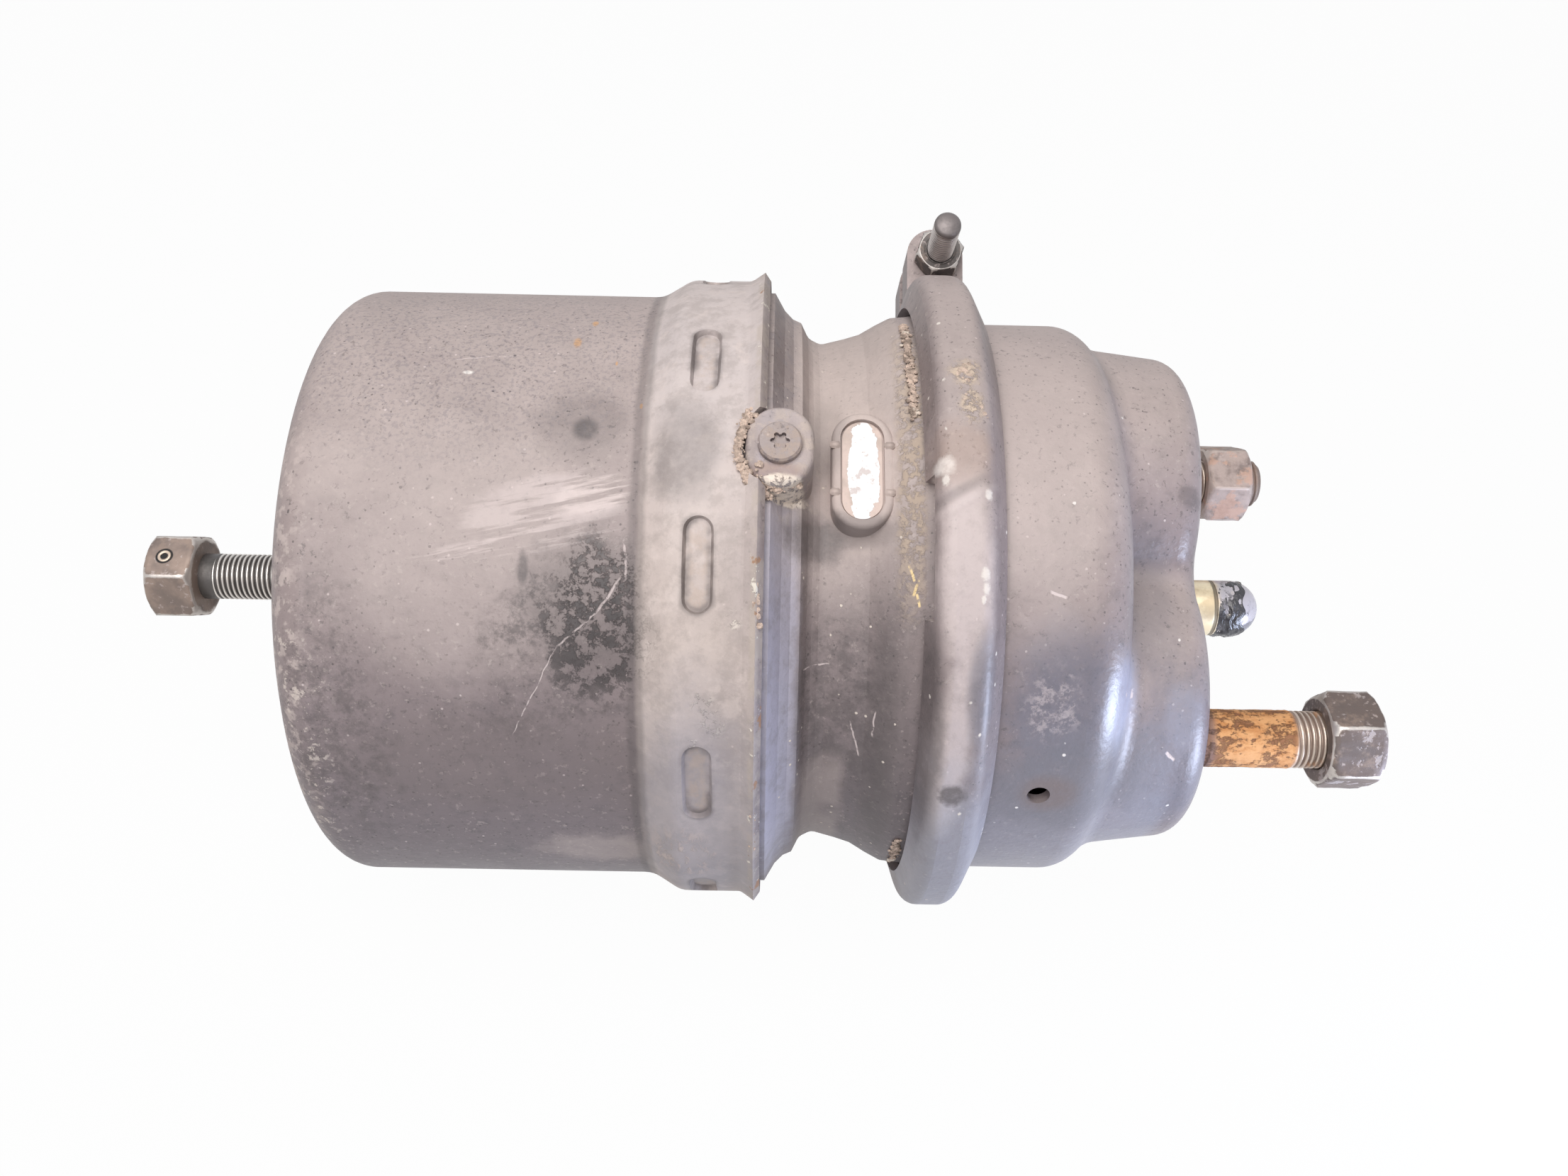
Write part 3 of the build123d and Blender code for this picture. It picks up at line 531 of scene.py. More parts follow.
def front_paint(paint):
    """The front pressing: smoother paint, painted bluish shade with pale mottles, painted bluish highlights, painted
    bluish light low down and a brown stain by the drain.
    """
    s = worn_paint("front_paint", tuple(1.06 * c for c in paint.pressing), paint, 0.36, FRONT_RADIUS)
    # Dark bluish patch on the lower side: painted shade, with pale mottles laid on it.
    s.spot(-44, 160, 14, 20, 0.7, (0.15, 0.15, 0.19), 0.34)
    s.spot(-47, 160, 6, 9, s.noise(330, 6, 0.75).rise(0.46, 0.60) * 0.42, paint.scuff, 0.6, ragged=0.9, scale=210)
    # Dark bluish patch on the plateau's lower side: painted shade.
    s.spot(-8, 176, 13, 20, 0.5, (0.16, 0.17, 0.22), 0.34, radius=PLATEAU_RADIUS)
    # Pale bluish spots on the shoulder and the plateau: painted highlights.
    s.spot(-28, 161, 5.5, 13, 0.62, (0.52, 0.55, 0.70), 0.3, ragged=0.35, radius=78)
    s.spot(-9, 168, 5, 8, 0.2, (0.46, 0.49, 0.62), 0.3, ragged=0.4, radius=PLATEAU_RADIUS)
    # Pale bluish band low on the pressing: painted light.
    s.spot(-40, 196, 40, 36, s.band(-70, -10, 3) * 0.4, (0.36, 0.37, 0.44), 0.42, ragged=0.4, radius=80)
    s.spot(-40, 178, 22, 16, 0.6, (0.15, 0.145, 0.165), 0.42)
    s.spot(-45, 179, 7, 6, 0.5, (0.20, 0.14, 0.12), 0.5, ragged=0.4)
    s.spot(-50, 118, 16, 40, 0.36, paint.dust, 0.6)
    s.spot(-18, 140, 10, 24, 0.4, (0.15, 0.145, 0.165), 0.4, radius=70)
    for x, angle, long, turn in ((-27, 160, 1.5, 60), (-24, 162, 1.4, 100), (-12, 176, 2.0, 45),
                                 (-47.4, 140.5, 2.4, 20)):
        s.lay(s.line(x, angle, long, 0.5, radius=76, turn=turn), paint.scuff, 0.6, height=-0.06)
    s.lay(s.specks(210, 0.12, 0.05), (0.82, 0.77, 0.74), 0.8, height=0.05)
    s.spot(-5, 112, 3.5, 3.5, 0.5, paint.grime, 0.5, ragged=0.8, scale=260, radius=72)
    return s.done()


def dark_steel(steel, paint, name, colour, rust=None, pinned=False):
    """Phosphated steel gone brown, rubbed pale on its corners. Rust is for the far side; a head with a cross pin gets a
    near-black ring round it, painted shade standing in for the pin's hole.
    """
    s = Sheet(name, colour, 0.5, 0.35)
    worn = s.node("ShaderNodeAttribute", {"attribute_name": "worn"}, {}, "Fac")
    blotch = s.noise(190, 6, 0.66)
    s.lay(s.noise(75, 4).rise(0.40, 0.62) * 0.6, (0.12, 0.10, 0.095), 0.55)
    s.lay(blotch.rise(0.50, 0.66) * 0.55, (0.36, 0.27, 0.22), 0.7, 0.1)
    s.lay(s.noise(460, 4, 0.6).rise(0.58, 0.68) * 0.6, paint.dust, 0.8, 0.0)
    s.lay((worn + (s.noise(320, 5, 0.7) - 0.5) * 0.9).rise(0.42, 0.72) * 0.85, steel.bright, 0.36, 0.75)
    if rust:
        far_side = s.y.rise(-1 * MM, 1 * MM)
        s.lay(far_side * s.noise(160, 5, 0.6).rise(0.30, 0.60) * 0.8, (0.52, 0.41, 0.365), 0.6, 0.1)
        s.lay((blotch + (s.noise(90, 3) - 0.5)).rise(0.54, 0.64) * 0.6 * far_side, rust, 0.85, 0.0, height=0.08)
        s.lay(s.noise(120, 6, 0.7).rise(0.59, 0.63) * 0.6 * (1.0 - far_side), (0.50, 0.44, 0.43), 0.6, 0.2,
              height=-0.15)
    # A near-black ring round each end of the cross pin: painted shade for the hole it passes through.
    if pinned:
        turn = math.radians(PIN_ANGLE)
        beside = s.y * math.sin(turn) - s.z * math.cos(turn)
        along = s.x - PIN_STATION * MM
        reach = (along * along + beside * beside) ** 0.5
        s.lay(1.0 - reach.rise(2.35 * MM, 2.75 * MM), (0.012, 0.010, 0.010), 0.8, 0.0)
    s.raise_by(s.noise(620, 5, 0.7) * 0.10 + blotch * 0.12)
    return s.done()


def threaded_steel(name, root, crest, roughness=0.42):
    """A rolled thread: dark in its roots, rubbed on its crests."""
    s = Sheet(name, root, roughness, 0.55)
    top = s.node("ShaderNodeAttribute", {"attribute_name": "worn"}, {}, "Fac")
    s.lay(s.noise(260, 5, 0.65).rise(0.5, 0.66) * 0.4, tuple(0.5 * c for c in root), 0.6)
    s.lay((top + (s.noise(240, 4, 0.6) - 0.5) * 0.5).rise(0.52, 0.92) * 0.9, crest, 0.3, 0.85)
    s.raise_by(s.noise(900, 3) * 0.05)
    return s.done()


def rusty_stud(steel):
    """The studs: flaky orange rust on the shank, rubbed steel on the thread."""
    s = Sheet("rusty_stud", (0.33, 0.25, 0.21), 0.5, 0.5)
    crest = s.node("ShaderNodeAttribute", {"attribute_name": "worn"}, {}, "Fac")
    s.lay((crest + (s.noise(300, 4) - 0.5) * 0.4).rise(0.5, 0.9) * 0.85, (0.60, 0.50, 0.42), 0.36, 0.8)
    s.lay(s.noise(120, 4).rise(0.54, 0.68) * 0.7, (0.48, 0.25, 0.12), 0.8, 0.0)
    shank = 1.0 - s.x.rise(22.6 * MM, 24.6 * MM)
    flakes = s.noise(210, 7, 0.7, stretch=(0.6, 1.2, 1.2))
    s.lay(shank, steel.rust, 0.85, 0.0)
    s.lay(shank * flakes.rise(0.40, 0.56) * 0.8, (0.78, 0.42, 0.19), 0.85)
    s.lay(shank * s.noise(260, 9, 0.8, stretch=(0.7, 1.1, 1.1)).rise(0.49, 0.56) * 0.8, (0.23, 0.10, 0.055), 0.9,
          height=-0.3)
    s.lay(shank * s.noise(70, 4).rise(0.60, 0.70) * 0.7, (0.40, 0.25, 0.19), 0.85)
    s.lay((1.0 - s.x.rise(0.8 * MM, 3.2 * MM)) * 0.85, (0.24, 0.15, 0.13), 0.8)
    s.lay(s.x.rise(43.2 * MM, 43.8 * MM) * s.y.rise(-1 * MM, 1 * MM) * 0.85, (0.22, 0.17, 0.15), 0.6, 0.3)
    s.raise_by(flakes * 0.55 * shank + s.noise(800, 4) * 0.12)
    return s.done()


def rod_finish(steel, dirt):
    """Yellow passivated rod, wiped dark towards its tip, with a turned groove."""
    s = Sheet("rod_zinc", tuple(steel.brass), 0.34, 0.6)
    s.lay(s.noise(300, 3, 0.5, stretch=(0.2, 1.5, 1.5)).rise(0.45, 0.7) * 0.5, (0.86, 0.76, 0.56), 0.3)
    s.lay(s.noise(90, 5, 0.6).rise(0.50, 0.66) * 0.55, (0.40, 0.28, 0.15), 0.5)
    tip = (s.x + (s.noise(260, 5, 0.6) - 0.5) * 0.004).rise(17.0 * MM, 19.5 * MM)
    s.lay(tip * 0.94, (0.50, 0.475, 0.53), 0.3, 0.3)
    s.lay(tip * s.noise(150, 5, 0.65).rise(0.52, 0.62) * 0.6, dirt.grease, 0.26, 0.0, height=0.12)
    s.lay(tip * s.noise(520, 4, 0.6).rise(0.60, 0.66) * 0.6, (0.62, 0.56, 0.54), 0.5, 0.1)
    groove = s.x.rise(16.3 * MM, 16.7 * MM) * (1.0 - s.x.rise(17.3 * MM, 17.7 * MM))
    s.lay(groove * 0.8, (0.10, 0.08, 0.06), 0.5, height=-0.4)
    s.raise_by(s.noise(500, 3) * 0.04)
    return s.done()


def sand_finish(dirt):
    """Caked road sand, from pale grit to brown."""
    s = Sheet("road_sand", tuple(dirt.sand), 0.92)
    s.lay(s.noise(900, 3, 0.6).rise(0.42, 0.62), tuple(min(1.0, 1.5 * c) for c in dirt.sand), 0.95)
    s.lay(s.noise(330, 4, 0.65).rise(0.48, 0.64) * 0.8, tuple(0.42 * c for c in dirt.sand), 0.95)
    s.lay(s.noise(140, 3).rise(0.60, 0.68) * 0.9, (0.86, 0.78, 0.68), 0.9)
    s.raise_by(s.noise(1500, 4, 0.7) * 0.2)
    return s.done(specular=0.25)


def grease_finish(dirt):
    """Old black grease with grit stuck in it."""
    s = Sheet("old_grease", tuple(dirt.grease), 0.22)
    s.lay(s.noise(300, 5, 0.65).rise(0.50, 0.66) * 0.6, (0.115, 0.105, 0.115), 0.35)
    s.lay(s.specks(620, 0.22, 0.22), (0.60, 0.52, 0.46), 0.8)
    s.raise_by(s.noise(420, 5, 0.6) * 0.5)
    return s.done(coat=0.35)


def label_finish(paint):
    """The bare label plate: remains of a pale film with worn edges."""
    s = Sheet("label_plate", (0.66, 0.53, 0.475), 0.55)
    s.lay(s.noise(110, 5, 0.6).rise(0.46, 0.62) * 0.7, (0.50, 0.41, 0.36), 0.7)
    film = s.patch(-95.1, 117.8, 4.0, 14.5, radius=79, ragged=0.42, scale=230, hard=0.04).rise(0.2, 0.4)
    s.lay(film, (0.86, 0.85, 0.85), 0.38, height=0.08)
    s.lay(film * s.noise(150, 6, 0.66).rise(0.58, 0.63) * 0.85, (0.62, 0.54, 0.52), 0.6, height=-0.05)
    s.lay(s.noise(420, 5, 0.7).rise(0.60, 0.68) * 0.55, paint.dust, 0.8)
    s.raise_by(s.noise(700, 3) * 0.04)
    return s.done()


def plain_finish(name, colour, roughness, metallic=0.0, grain=600, turned=False):
    """Inner and small pieces: an even finish with grain, stains and, on a turned piece, turning marks."""
    s = Sheet(name, colour, roughness, metallic)
    s.lay(s.noise(55, 5, 0.6).rise(0.42, 0.66) * 0.4, tuple(0.62 * c for c in colour))
    s.lay(s.noise(240, 5, 0.62).rise(0.52, 0.70) * 0.35, tuple(min(1.0, 1.4 * c + 0.02) for c in colour),
          roughness + 0.12)
    s.raise_by(s.noise(grain, 4, 0.6) * 0.07)
    if turned:
        s.raise_by(s.noise(2200, 1, 0.5, stretch=(1.0, 0.02, 0.02)) * 0.05)
    return s.done()


# ---- mesh making ----
def outward(angle):
    """The direction away from the axis at an angle."""
    a = math.radians(angle)
    return Vector((0, math.cos(a), math.sin(a)))


def onward(angle):
    """The direction round the axis at an angle."""
    a = math.radians(angle)
    return Vector((0, -math.sin(a), math.cos(a)))


def at(x, angle, radius):
    """The point at a station, an angle and a radius."""
    a = math.radians(angle)
    return Vector((x, radius * math.cos(a), radius * math.sin(a))) * MM


def turned_by(angle):
    """A turn about X."""
    return Matrix.Rotation(math.radians(angle), 4, "X")


def axes(first, second, third):
    """The matrix with these axes."""
    return Matrix((first, second, third)).transposed().to_4x4()


def frame_at(origin, axis):
    """The matrix at a point whose own X runs along an axis that crosses the object's X."""
    side = axis.orthogonal().normalized()
    return Matrix.Translation(origin) @ axes(axis, side, axis.cross(side))


def settle(name, mesh, body, stands_for=()):
    """Makes a mesh a piece that rides on its body."""
    piece = bpy.data.objects.new(name, mesh)
    bpy.context.scene.collection.objects.link(piece)
    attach(piece, body)
    if stands_for:
        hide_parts(*stands_for)
    return piece


def new_piece(name, shape, material, body, stands_for=()):
    """A smooth piece from its shape: points, faces, and how worn each point is, or None."""
    points, faces, worn = shape
    mesh = bpy.data.meshes.new(name)
    mesh.from_pydata([tuple(p) for p in points], [], faces)
    mesh.validate()
    mesh.shade_smooth()
    if worn:
        mesh.attributes.new("worn", "FLOAT", "POINT").data.foreach_set("value", worn)
    mesh.materials.append(material)
    settle(name, mesh, body, stands_for)


def mesh_from(name, form, material):
    """A mesh with a material from a bmesh, which is freed."""
    mesh = bpy.data.meshes.new(name)
    form.to_mesh(mesh)
    form.free()
    mesh.materials.append(material)
    return mesh


def joined(*shapes):
    """Several shapes as one."""
    points, faces, worn = [], [], []
    for more_points, more_faces, more_worn in shapes:
        start = len(points)
        points += more_points
        faces += [tuple(start + k for k in face) for face in more_faces]
        worn += more_worn
    return points, faces, worn


def grid_faces(rows, around, looped=False):
    """Quads over rows of points that each go once around. Looped rows join the last to the first."""
    return [(i * around + j, i * around + (j + 1) % around,
             (i + 1) % rows * around + (j + 1) % around, (i + 1) % rows * around + j)
            for i in range(rows if looped else rows - 1) for j in range(around)]


def end_caps(rows, around):
    """The two faces that close the ends of a grid."""
    return [tuple(reversed(range(around))), tuple((rows - 1) * around + j for j in range(around))]


def turned_shape(profile, around, place, thread=None, rough=0.0):
    """A turned shape with closed ends, from its (x, radius) profile. The thread is its start, end, pitch, depth and
    samples to a pitch, and rough is how deep long plain runs are pitted."""
    start, end, pitch, depth, samples = thread or (math.inf, -math.inf, 1.0, 0.0, 1)
    stations = []
    for (x0, r0), (x1, r1) in zip(profile, profile[1:]):
        steps = 1
        if start <= min(x0, x1) and max(x0, x1) <= end:
            steps = max(1, round((x1 - x0) / pitch * samples))
        elif rough and x1 - x0 > 1.0 * MM:
            steps = max(1, round((x1 - x0) / (0.35 * MM)))
        stations += [(x0 + (x1 - x0) * k / steps, r0 + (r1 - r0) * k / steps, steps > 1) for k in range(steps)]
    stations.append((*profile[-1], False))
    points, worn = [], []
    for x, r, dense in stations:
        for j in range(around):
            a = math.tau * j / around
            top = 0.0
            radius = r
            if start <= x <= end and r > 1.0 * MM:
                phase = ((x - start) / pitch - j / around) % 1.0
                ramp = min(1.0, max(0.0, abs(phase - 0.5) * 2.6 - 0.45) / 0.62)
                fade = min(1.0, (end - x) / pitch, (x - start) / pitch)
                radius = r - depth * ramp * max(0.0, fade)
                top = 1.0 - ramp
            local = Vector((x, radius * math.cos(a), radius * math.sin(a)))
            if rough and dense and top == 0.0:
                radius -= rough * (0.5 + 0.5 * noise.fractal(local / (2.2 * MM), 0.6, 2.2, 5))
                local = Vector((x, radius * math.cos(a), radius * math.sin(a)))
            points.append(place @ local)
            worn.append(top)
    rows = len(stations)
    return points, grid_faces(rows, around) + end_caps(rows, around), worn


def hex_shape(flats, height, bore, place, dents, seed=0.0, around=132, blind=False):
    """A hexagon nut or head with softened, dented corners, whose own X runs along its axis. A blind one has no bore."""
    def corner(a):
        return flats / 2 / math.cos((a % (math.pi / 3)) - math.pi / 6)

    def soft_least(a, b):
        k = 0.16 * MM
        low = min(a, b)
        return low - k * math.log(math.exp(-(a - low) / k) + math.exp(-(b - low) / k))

    rises = [height * 1.3 * s * s for s in (0.04, 0.1, 0.2, 0.32, 0.45)]
    section = [("bore", height, 0.0), ("bore", 0.7 * MM, 0.0)]
    section += [("end", 0.0, k / 7) for k in range(8)]
    section += [("side", x, 1.0) for x in (*rises, height * 0.5)]
    section += [("side", height - x, 1.0) for x in reversed(rises)]
    section += [("end", height, 1 - k / 7) for k in range(8)]
    if not blind:
        section += [("bore", height - 0.7 * MM, 0.0)]
    rim = bore + (0.0 if blind else 0.7 * MM)
    shift = Vector((seed, seed * 0.7, 0.0))
    points, worn = [], []
    for zone, x, share in section:
        for j in range(around):
            a = math.tau * j / around
            limit = corner(a)
            for depth in (height - x, x):
                limit = soft_least(limit, flats * 0.475 + depth * math.tan(math.radians(60)))
            at_corner = max(0.0, (corner(a) - flats / 2) / (flats / 2 * 0.1547))
            if zone == "bore":
                r = bore
                rub = 0.0
            elif zone == "end":
                r = rim + (limit - rim) * share
                rub = 0.75 * share ** 6
            else:
                r = limit
                rub = max(at_corner ** 4, 0.8 * (corner(a) - limit > 0.12 * MM))
            local = Vector((x, r * math.cos(a), r * math.sin(a)))
            if zone != "bore":
                dent = dents * MM * max(0.0, noise.fractal(local / (4.5 * MM) + shift, 0.8, 2.0, 3))
                local.y *= 1.0 - dent / max(r, 1e-6)
                local.z *= 1.0 - dent / max(r, 1e-6)
            points.append(place @ local)
            worn.append(rub)
    faces = grid_faces(len(section), around, looped=not blind)
    if blind:
        faces += end_caps(len(section), around)
    return points, faces, worn


def grease_shape(around=96, rows=40):
    """A lumpy sleeve of grease round the rod's tip."""
    points = []
    for i in range(rows + 1):
        t = i / rows
        for j in range(around):
            a = math.tau * j / around
            lump = noise.fractal(Vector((t * 3.4, math.cos(a) * 2.4, math.sin(a) * 2.4)), 0.6, 2.1, 4)
            ragged = noise.noise(Vector((5.0, math.cos(a) * 2.0, math.sin(a) * 2.0)))
            x = ROD_GREASE_START + t * (8.2 + 2.4 * ragged)
            thick = max(-0.14, 0.12 + 0.62 * lump + 0.42 * math.cos(a - math.radians(205)))
            r = ROD_GREASE_RADIUS + thick * math.sin(math.pi * t) ** 0.5
            points.append(Vector((x, ROD_ASIDE[0] + r * math.cos(a), ROD_ASIDE[1] + r * math.sin(a))) * MM)
    return points, grid_faces(rows + 1, around), None


def clods(name, lines, count, largest, material, seed, spread, flat=0.6):
    """Caked grains along lines of (x, angle, radius) places: each grain is a small broken lump, half sunk in."""
    rng = random.Random(seed)
    cloud = bmesh.new()
    for _ in range(count):
        line = rng.choice(lines)
        t = rng.random() * (len(line) - 1)
        k = min(int(t), len(line) - 2)
        x, angle, radius = (a + (b - a) * (t - k) for a, b in zip(line[k], line[k + 1]))
        x += rng.gauss(0, spread)
        angle += rng.gauss(0, spread / radius * 40)
        size = largest * (0.25 + 0.75 * rng.random() ** 2.2)
        out = outward(angle)
        made = bmesh.ops.create_icosphere(cloud, subdivisions=2 if size > largest * 0.6 else 1, radius=1.0)
        turn = Matrix.Rotation(rng.random() * 6.28, 3, Vector((rng.random(), rng.random(), rng.random())).normalized())
        centre = at(x, angle, radius)
        shift = Vector((rng.random(), rng.random(), rng.random())) * 50
        for v in made["verts"]:
            p = turn @ (v.co * (1.0 + 0.42 * noise.noise(v.co * 1.9 + shift)))
            p -= out * p.dot(out) * (1.0 - flat)
            v.co = centre + p * size
    settle(name, mesh_from(name, cloud, material), "chamber")


def finish_nodes(material, *nodes):
    """Gives a material to CAD nodes."""
    for node in nodes:
        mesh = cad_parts[node].data
        mesh.materials.clear()
        mesh.materials.append(material)


def soft_copy(node):
    """A copy of a spring or bellows that rides on the chamber in place of its CAD node."""
    piece = settle(node + "_coils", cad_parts[node].data.copy(), "chamber", (node,))
    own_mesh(piece)


def aimed(place, aim):
    """A lamp's matrix at a place, shining at a point."""
    return Matrix.Translation(place) @ (aim - place).to_track_quat("-Z", "Y").to_matrix().to_4x4()


# ---- operators ----
class BRAKE_OT_castings(bpy.types.Operator):
    """Paint the two pressings, the casting and the clamp ring"""

    bl_idname = "brake.castings"
    bl_label = "Paint the housings"

    def execute(self, context):
        paint = context.scene.brake_chamber.paint
        finish_nodes(housing_paint(paint), "spring_housing")
        finish_nodes(casting_paint(paint), "flange_housing")
        finish_nodes(ring_paint(paint), "clamp_ring")
        finish_nodes(front_paint(paint), "front_housing")
        return {"FINISHED"}


class BRAKE_OT_studs(bpy.types.Operator):
    """Make the rusty threaded studs and their nuts"""

    bl_idname = "brake.studs"
    bl_label = "Studs and nuts"

    def execute(self, context):
        own = context.scene.brake_chamber
        steel = own.steel
        start, end, crest = STUD_THREAD_START * MM, STUD_THREAD_END * MM, steel.stud_crest
        profile = [(-9.1 * MM, 6.0 * MM), (-7.2 * MM, 7.65 * MM), (0.3 * MM, 7.65 * MM), (0.5 * MM, 7.98 * MM),
                   (23.2 * MM, 7.98 * MM), (start, crest), (end, crest), (end + 1.35 * MM, crest - 1.35 * MM)]
        studs = [turned_shape(profile, 72, Matrix.Translation((0, side * STUD_SIDE * MM, 0)),
                              (start, end, steel.stud_pitch, 0.82 * MM, 8), rough=0.24 * MM) for side in (-1, 1)]
        new_piece("rusty_studs", joined(*studs), rusty_stud(steel), "chamber", ("mounting_studs",))
        near = Matrix.Translation((31.5 * MM, -STUD_SIDE * MM, 0))
        far = Matrix.Translation((28.6 * MM, STUD_SIDE * MM, 0)) @ turned_by(32)
        nuts = [hex_shape(WIDE_FLATS * MM, 14.8 * MM, 7.85 * MM, place, 0.35, seed)
                for place, seed in ((near, 0.0), (far, 3.1))]
        finish = dark_steel(steel, own.paint, "nut_steel", (0.165, 0.125, 0.11), rust=(0.62, 0.38, 0.28))
        new_piece("caliper_nuts", joined(*nuts), finish, "chamber", ("stud_nuts",))
        return {"FINISHED"}


class BRAKE_OT_release(bpy.types.Operator):
    """Make the release screw with its hexagon head and cross pin"""

    bl_idname = "brake.release"
    bl_label = "Release screw"

    def execute(self, context):
        own = context.scene.brake_chamber
        steel = own.steel
        body, slot = "release_screw_assembly", "dark_steel"
        start, end, crest = -286.6 * MM, -185.1 * MM, steel.screw_crest - 0.02 * MM
        profile = [(-294.0 * MM, 5.0 * MM), (-293.9 * MM, crest), (start, crest), (end, crest),
                   (-183.6 * MM, 5.97 * MM), (-171.9 * MM, 5.97 * MM), (-171.05 * MM, 5.2 * MM)]
        screw = turned_shape(profile, 64, Matrix.Identity(4), (start, end, steel.screw_pitch, 0.8 * MM, 7),
                             rough=0.1 * MM)
        finish = threaded_steel("release_thread", (0.115, 0.105, 0.10), (0.72, 0.67, 0.62))
        new_piece("release_thread", screw, finish, body, ("release_screw",))
        place = Matrix.Translation((-305.3 * MM, 0, 0)) @ turned_by(81.3)
        head = hex_shape(WIDE_FLATS * MM, 14.2 * MM, 2.08 * MM, place, 0.3, 8.3)
        finish = dark_steel(steel, own.paint, "head_steel", (0.35, 0.265, 0.22), pinned=True)
        new_piece("release_head", head, finish, body, ("release_hex",))
        half = [(11.9, 1.98), (12.14, 1.85), (12.1, 1.15), (11.1, 0.95), (11.1, 0.3)]
        profile = [(-x * MM, r * MM) for x, r in reversed(half)] + [(x * MM, r * MM) for x, r in half]
        points, faces, _ = turned_shape(profile, 40, frame_at(Vector((PIN_STATION * MM, 0, 0)), outward(PIN_ANGLE)))
        finish = plain_finish("pin_steel", (0.62, 0.50, 0.40), 0.45, 0.6)
        new_piece("cross_pin", (points, faces, None), finish, body, ("hex_pin",))
        return {"FINISHED"}


class BRAKE_OT_clamp(bpy.types.Operator):
    """Make the clamp ring's threaded bolt and nut"""

    bl_idname = "brake.clamp"
    bl_label = "Clamp bolt"

    def execute(self, context):
        own = context.scene.brake_chamber
        steel = own.steel
        tangent, along = onward(CLAMP_ANGLE), Vector((1, 0, 0))
        origin = Vector((CLAMP_STATION * MM, 0, 0)) + outward(CLAMP_ANGLE) * 100 * MM
        place = Matrix.Translation(origin) @ axes(tangent, along, tangent.cross(along))
        start, end, radius = 20.0 * MM, 41.3 * MM, 3.97 * MM
        profile = [(-19.4 * MM, radius), (start, radius), (end, radius), (42.1 * MM, 3.85 * MM), (42.95 * MM, 3.1 * MM)]
        bolt = turned_shape(profile, 48, place, (start, end, steel.bolt_pitch, 0.62 * MM, 7))
        head = hex_shape(CLAMP_FLATS * MM, 5.3 * MM, 0.0,
                         place @ Matrix.Translation((-23.85 * MM, 0, 0)) @ turned_by(10), 0.2, around=96, blind=True)
        finish = threaded_steel("clamp_thread", (0.20, 0.175, 0.17), (0.62, 0.56, 0.53), 0.46)
        new_piece("clamp_bolt_thread", joined(bolt, head), finish, "chamber", ("clamp_bolt",))
        nut = hex_shape(CLAMP_FLATS * MM, 6.9 * MM, 4.05 * MM,
                        place @ Matrix.Translation((18.55 * MM, 0, 0)) @ turned_by(10), 0.2, around=96)
        finish = dark_steel(steel, own.paint, "clamp_steel", (0.085, 0.075, 0.07))
        new_piece("clamp_lock_nut", nut, finish, "chamber", ("clamp_nut",))
        return {"FINISHED"}


class BRAKE_OT_rod(bpy.types.Operator):
    """Finish the rod and put old grease on it"""

    bl_idname = "brake.rod"
    bl_label = "Rod and grease"

    def execute(self, context):
        own = context.scene.brake_chamber
        finish_nodes(rod_finish(own.steel, own.dirt), "pushrod", "rod_end")
        new_piece("rod_grease", grease_shape(), grease_finish(own.dirt), "pushrod_assembly")
        return {"FINISHED"}


class BRAKE_OT_dirt(bpy.types.Operator):
    """Cake road sand round the lug, the lip and the clamp ring"""

    bl_idname = "brake.dirt"
    bl_label = "Road dirt"

    def execute(self, context):
        dirt = context.scene.brake_chamber.dirt
        sand = sand_finish(dirt)
        upper_groove = [[(-82.3, angle, 82.6) for angle in range(76, 110, 4)]]
        lower_groove = [[(-82.0, angle, 82.4) for angle in range(196, 216, 4)]]
        round_lug = [[(-123.6, 112.5, 92.6), (-125.6, 116, 92.6), (-126.2, 120, 92.6), (-123.4, 124.4, 91.8),
                      (-118.5, 126.2, 89)]]
        under_lug = [[(-121.5, 122.4, 91.8), (-117, 124.6, 90.4), (-112.4, 123.4, 90)]]
        ring_top = [[(-71.0, 103.4, 94.2), (-69.6, 106.5, 94.1)], [(-69.8, 109.4, 94.1), (-69.0, 113.0, 94.0)]]
        lip_edge = [[(-121.0, 121, 93.3), (-120.8, 124, 93.3)], [(-121.0, 139, 93.3), (-121.0, 146, 93.3)],
                    [(-121.2, 176, 93.3), (-121.0, 189, 93.3)]]
        for later, (name, lines, count, size, spread, flat) in enumerate((
            ("sand_by_ring", upper_groove, 520, 0.62, 0.55, 0.6),
            ("sand_below_ring", lower_groove, 120, 0.7, 0.5, 0.6),
            ("sand_by_lug", round_lug, 420, 0.6, 0.6, 0.6),
            ("sand_on_lug", under_lug, 120, 0.8, 1.0, 0.6),
            ("sand_on_ring", ring_top, 170, 0.55, 1.2, 0.4),
            ("sand_on_lip", lip_edge, 46, 0.7, 0.5, 0.6),
        )):
            clods(name, lines, count, dirt.grain * size, sand, dirt.seed + later, spread, flat)
        return {"FINISHED"}


